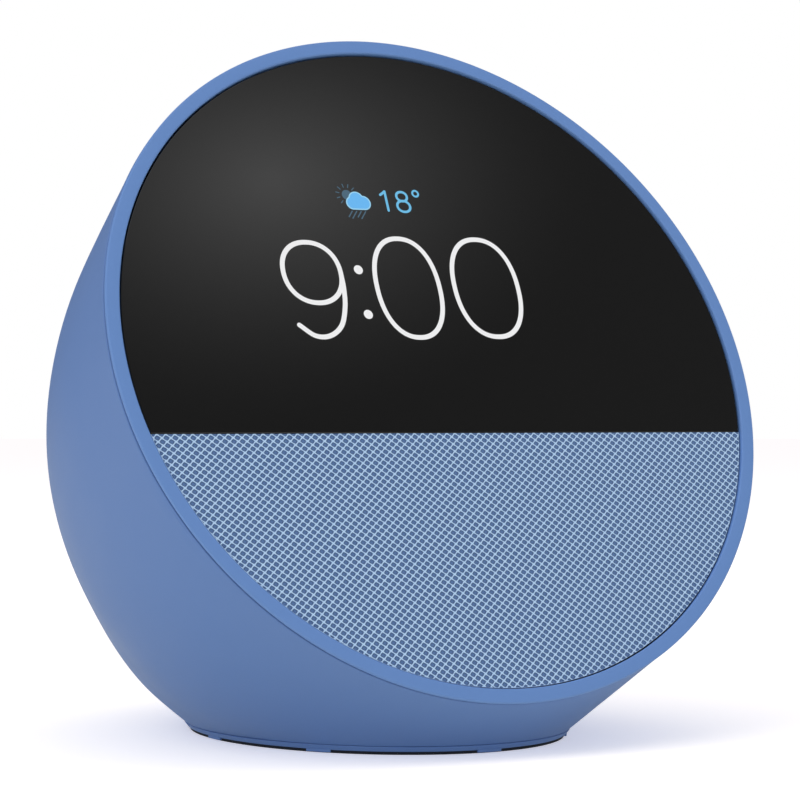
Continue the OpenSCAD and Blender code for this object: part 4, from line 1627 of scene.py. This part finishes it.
class Insides:
    """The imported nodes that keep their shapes: boards, driver, leads and fasteners."""

    def build(self) -> None:
        """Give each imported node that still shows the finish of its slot."""
        slots = {row["node"]: row["material_slot"] for row in frame["record"]["subparts"]}
        for name, node in frame["nodes"].items():
            if node.hide_render:
                continue
            node.data.materials.clear()
            node.data.materials.append(FINISHES.get(slots[name]))
            log.info("%s keeps its shape, with the finish %s", name, slots[name])


# ---------------------------------------------------------------- the studio


@dataclass
class Studio:
    """The camera, the soft lights and the floor."""

    azimuth: float = math.radians(-30.84)
    elevation: float = math.radians(-1.27)
    distance: float = 424.55 * MM
    yaw: float = math.radians(-29.63)
    pitch: float = math.radians(-0.33)
    lens: float = 123.39
    shift: tuple[float, float] = (0.0139, 0.0015)
    glow: tuple[float, float] = (-24 * MM, 30 * MM)
    glow_strength: float = 0.95
    glow_size: tuple[float, float] = (0.225, 0.145)
    glow_tilt: float = math.radians(-14)
    card_gap: float = 800 * MM
    floor_bounce: Colour = (0.18, 0.19, 0.19)
    floor_glow: Colour = (0.43, 0.44, 0.53)
    floor_white: Colour = (0.86, 0.80, 0.68)
    floor_radius: float = 6.0

    @staticmethod
    def away(azimuth: float, elevation: float) -> Vector:
        """Return the unit vector from the object towards a direction."""
        return Vector((
            math.sin(azimuth) * math.cos(elevation),
            -math.cos(azimuth) * math.cos(elevation),
            math.sin(elevation),
        ))

    def eye(self) -> Vector:
        """Return the camera's place."""
        return FACE.centre + self.away(self.azimuth, self.elevation) * self.distance

    def camera(self) -> None:
        """Make the camera."""
        data = bpy.data.cameras.new("camera")
        data.sensor_width = 36.0
        data.lens = self.lens
        data.shift_x, data.shift_y = self.shift
        data.clip_start = 0.01
        data.clip_end = 50
        camera = bpy.data.objects.new("camera", data)
        camera.location = self.eye()
        camera.rotation_euler = (-self.away(self.yaw, self.pitch)).to_track_quat("-Z", "Y").to_euler()
        bpy.context.scene.collection.objects.link(camera)
        bpy.context.scene.camera = camera

    def lamp(
        self, name: str, azimuth: float, elevation: float, far: float, size: float, power: float,
    ) -> None:
        """Add a soft square light that looks at the object.

        Args:
            name: Name of the light.
            azimuth: Its direction round the object, in degrees.
            elevation: Its height, in degrees.
            far: Its distance.
            size: Its side.
            power: Its power in watts.
        """
        data = bpy.data.lights.new(name, "AREA")
        data.shape = "SQUARE"
        data.size = size
        data.energy = power
        light = bpy.data.objects.new(name, data)
        way = self.away(math.radians(azimuth), math.radians(elevation))
        light.location = FACE.centre + way * far
        light.rotation_euler = (-way).to_track_quat("-Z", "Y").to_euler()
        bpy.context.scene.collection.objects.link(light)

    def card(self) -> None:
        """Hang a card that glows in its middle where the lens mirrors it softly."""
        plane = FACE.place(0, 0, 0)
        height = (self.eye() - plane).dot(FACE.normal())
        mirrored = self.eye() - 2 * height * FACE.normal()
        spot = FACE.place(*self.glow, 0)
        centre = mirrored + (spot - mirrored) * (1 + self.card_gap / height)
        bm = bmesh.new()
        bmesh.ops.create_grid(bm, x_segments=1, y_segments=1, size=0.5)
        turn = FACE.matrix().to_3x3().to_4x4() @ Matrix.Rotation(math.pi, 4, "X")
        mesh = bpy.data.meshes.new("glow_card")
        bm.to_mesh(mesh)
        bm.free()
        card = bpy.data.objects.new("glow_card", mesh)
        card.matrix_world = Matrix.Translation(centre) @ turn
        bpy.context.scene.collection.objects.link(card)
        card.visible_camera = False
        card.visible_shadow = False
        material = bpy.data.materials.new("glow")
        material.use_nodes = True
        tree = material.node_tree
        tree.nodes.clear()
        coords = tree.nodes.new("ShaderNodeTexCoord")
        shape = tree.nodes.new("ShaderNodeMapping")
        shape.vector_type = "TEXTURE"
        shape.inputs["Scale"].default_value = (*self.glow_size, 1.0)
        shape.inputs["Rotation"].default_value = (0, 0, self.glow_tilt)
        fall = tree.nodes.new("ShaderNodeTexGradient")
        fall.gradient_type = "QUADRATIC_SPHERE"
        light = tree.nodes.new("ShaderNodeEmission")
        gain = tree.nodes.new("ShaderNodeMath")
        gain.operation = "MULTIPLY"
        gain.inputs[1].default_value = self.glow_strength
        clear = tree.nodes.new("ShaderNodeBsdfTransparent")
        both = tree.nodes.new("ShaderNodeAddShader")
        out = tree.nodes.new("ShaderNodeOutputMaterial")
        for source, target in (
            (coords.outputs["Object"], shape.inputs["Vector"]),
            (shape.outputs["Vector"], fall.inputs["Vector"]),
            (fall.outputs["Fac"], gain.inputs[0]),
            (gain.outputs[0], light.inputs["Strength"]),
            (light.outputs[0], both.inputs[0]),
            (clear.outputs[0], both.inputs[1]),
            (both.outputs[0], out.inputs["Surface"]),
        ):
            tree.links.new(source, target)
        mesh.materials.append(material)

    def world(self, seen: float, diffuse: float, mirrored: float) -> None:
        """Light the scene evenly, with a white background.

        Args:
            seen: Brightness of the background.
            diffuse: Brightness of the light that it throws.
            mirrored: Brightness that glossy surfaces mirror.
        """
        world = bpy.data.worlds.new("studio")
        bpy.context.scene.world = world
        world.use_nodes = True
        tree = world.node_tree
        tree.nodes.clear()
        path = tree.nodes.new("ShaderNodeLightPath")
        shades = []
        for value in (seen, diffuse, mirrored):
            shade = tree.nodes.new("ShaderNodeBackground")
            shade.inputs["Color"].default_value = (1.0, 1.0, 1.0, 1.0)
            shade.inputs["Strength"].default_value = value
            shades.append(shade.outputs[0])
        gloss = tree.nodes.new("ShaderNodeMixShader")
        direct = tree.nodes.new("ShaderNodeMixShader")
        out = tree.nodes.new("ShaderNodeOutputWorld")
        tree.links.new(path.outputs["Is Glossy Ray"], gloss.inputs["Fac"])
        tree.links.new(shades[1], gloss.inputs[1])
        tree.links.new(shades[2], gloss.inputs[2])
        tree.links.new(path.outputs["Is Camera Ray"], direct.inputs["Fac"])
        tree.links.new(gloss.outputs[0], direct.inputs[1])
        tree.links.new(shades[0], direct.inputs[2])
        tree.links.new(direct.outputs[0], out.inputs["Surface"])

    def floor(self) -> None:
        """Lay the plain pale floor."""
        bm = bmesh.new()
        bmesh.ops.create_circle(bm, cap_ends=True, segments=96, radius=self.floor_radius)
        floor = finished("floor", bm)
        white = self.floor_white
        paper = MouldedPlastic("floor_white", white, white, 0.9, 0.05, 40.0, 0.0, 0.0).material()
        shader = paper.node_tree.nodes["Principled BSDF"]
        path = paper.node_tree.nodes.new("ShaderNodeLightPath")
        glow = paper.node_tree.nodes.new("ShaderNodeMix")
        glow.data_type = "RGBA"
        shades = [socket for socket in glow.inputs if socket.type == "RGBA"]
        shades[0].default_value = (*self.floor_bounce, 1.0)
        shades[1].default_value = (*self.floor_glow, 1.0)
        result = next(socket for socket in glow.outputs if socket.type == "RGBA")
        paper.node_tree.links.new(path.outputs["Is Camera Ray"], glow.inputs["Factor"])
        paper.node_tree.links.new(result, shader.inputs["Emission Color"])
        shader.inputs["Emission Strength"].default_value = 1.0
        floor.data.materials.append(paper)

    def build(self) -> None:
        """Make the camera, the lights and the floor."""
        self.camera()
        self.floor()
        self.card()
        self.lamp("key", -80, 38, 1.3, 1.1, 4.6)
        self.lamp("top", 10, 84, 1.4, 1.2, 3.6)
        self.lamp("fill", 15, 2, 1.5, 0.8, 1.6)
        self.world(1.0, 0.66, 0.15)
        bpy.context.scene.view_settings.view_transform = "Standard"


def main() -> None:
    """Build the studio and every piece of the display, in order."""
    logging.basicConfig(level=logging.INFO, format="%(name)s: %(message)s")
    Studio().build()
    housing, keys, inlet = Housing(), TopKeys(), PowerInlet()
    housing.build(keys, inlet)
    FaceRing().build()
    Lens().build()
    ScreenPicture().build()
    Grille().build()
    keys.build()
    inlet.build(housing)
    Base().build()
    Insides().build()


if __name__ == "__main__":
    main()
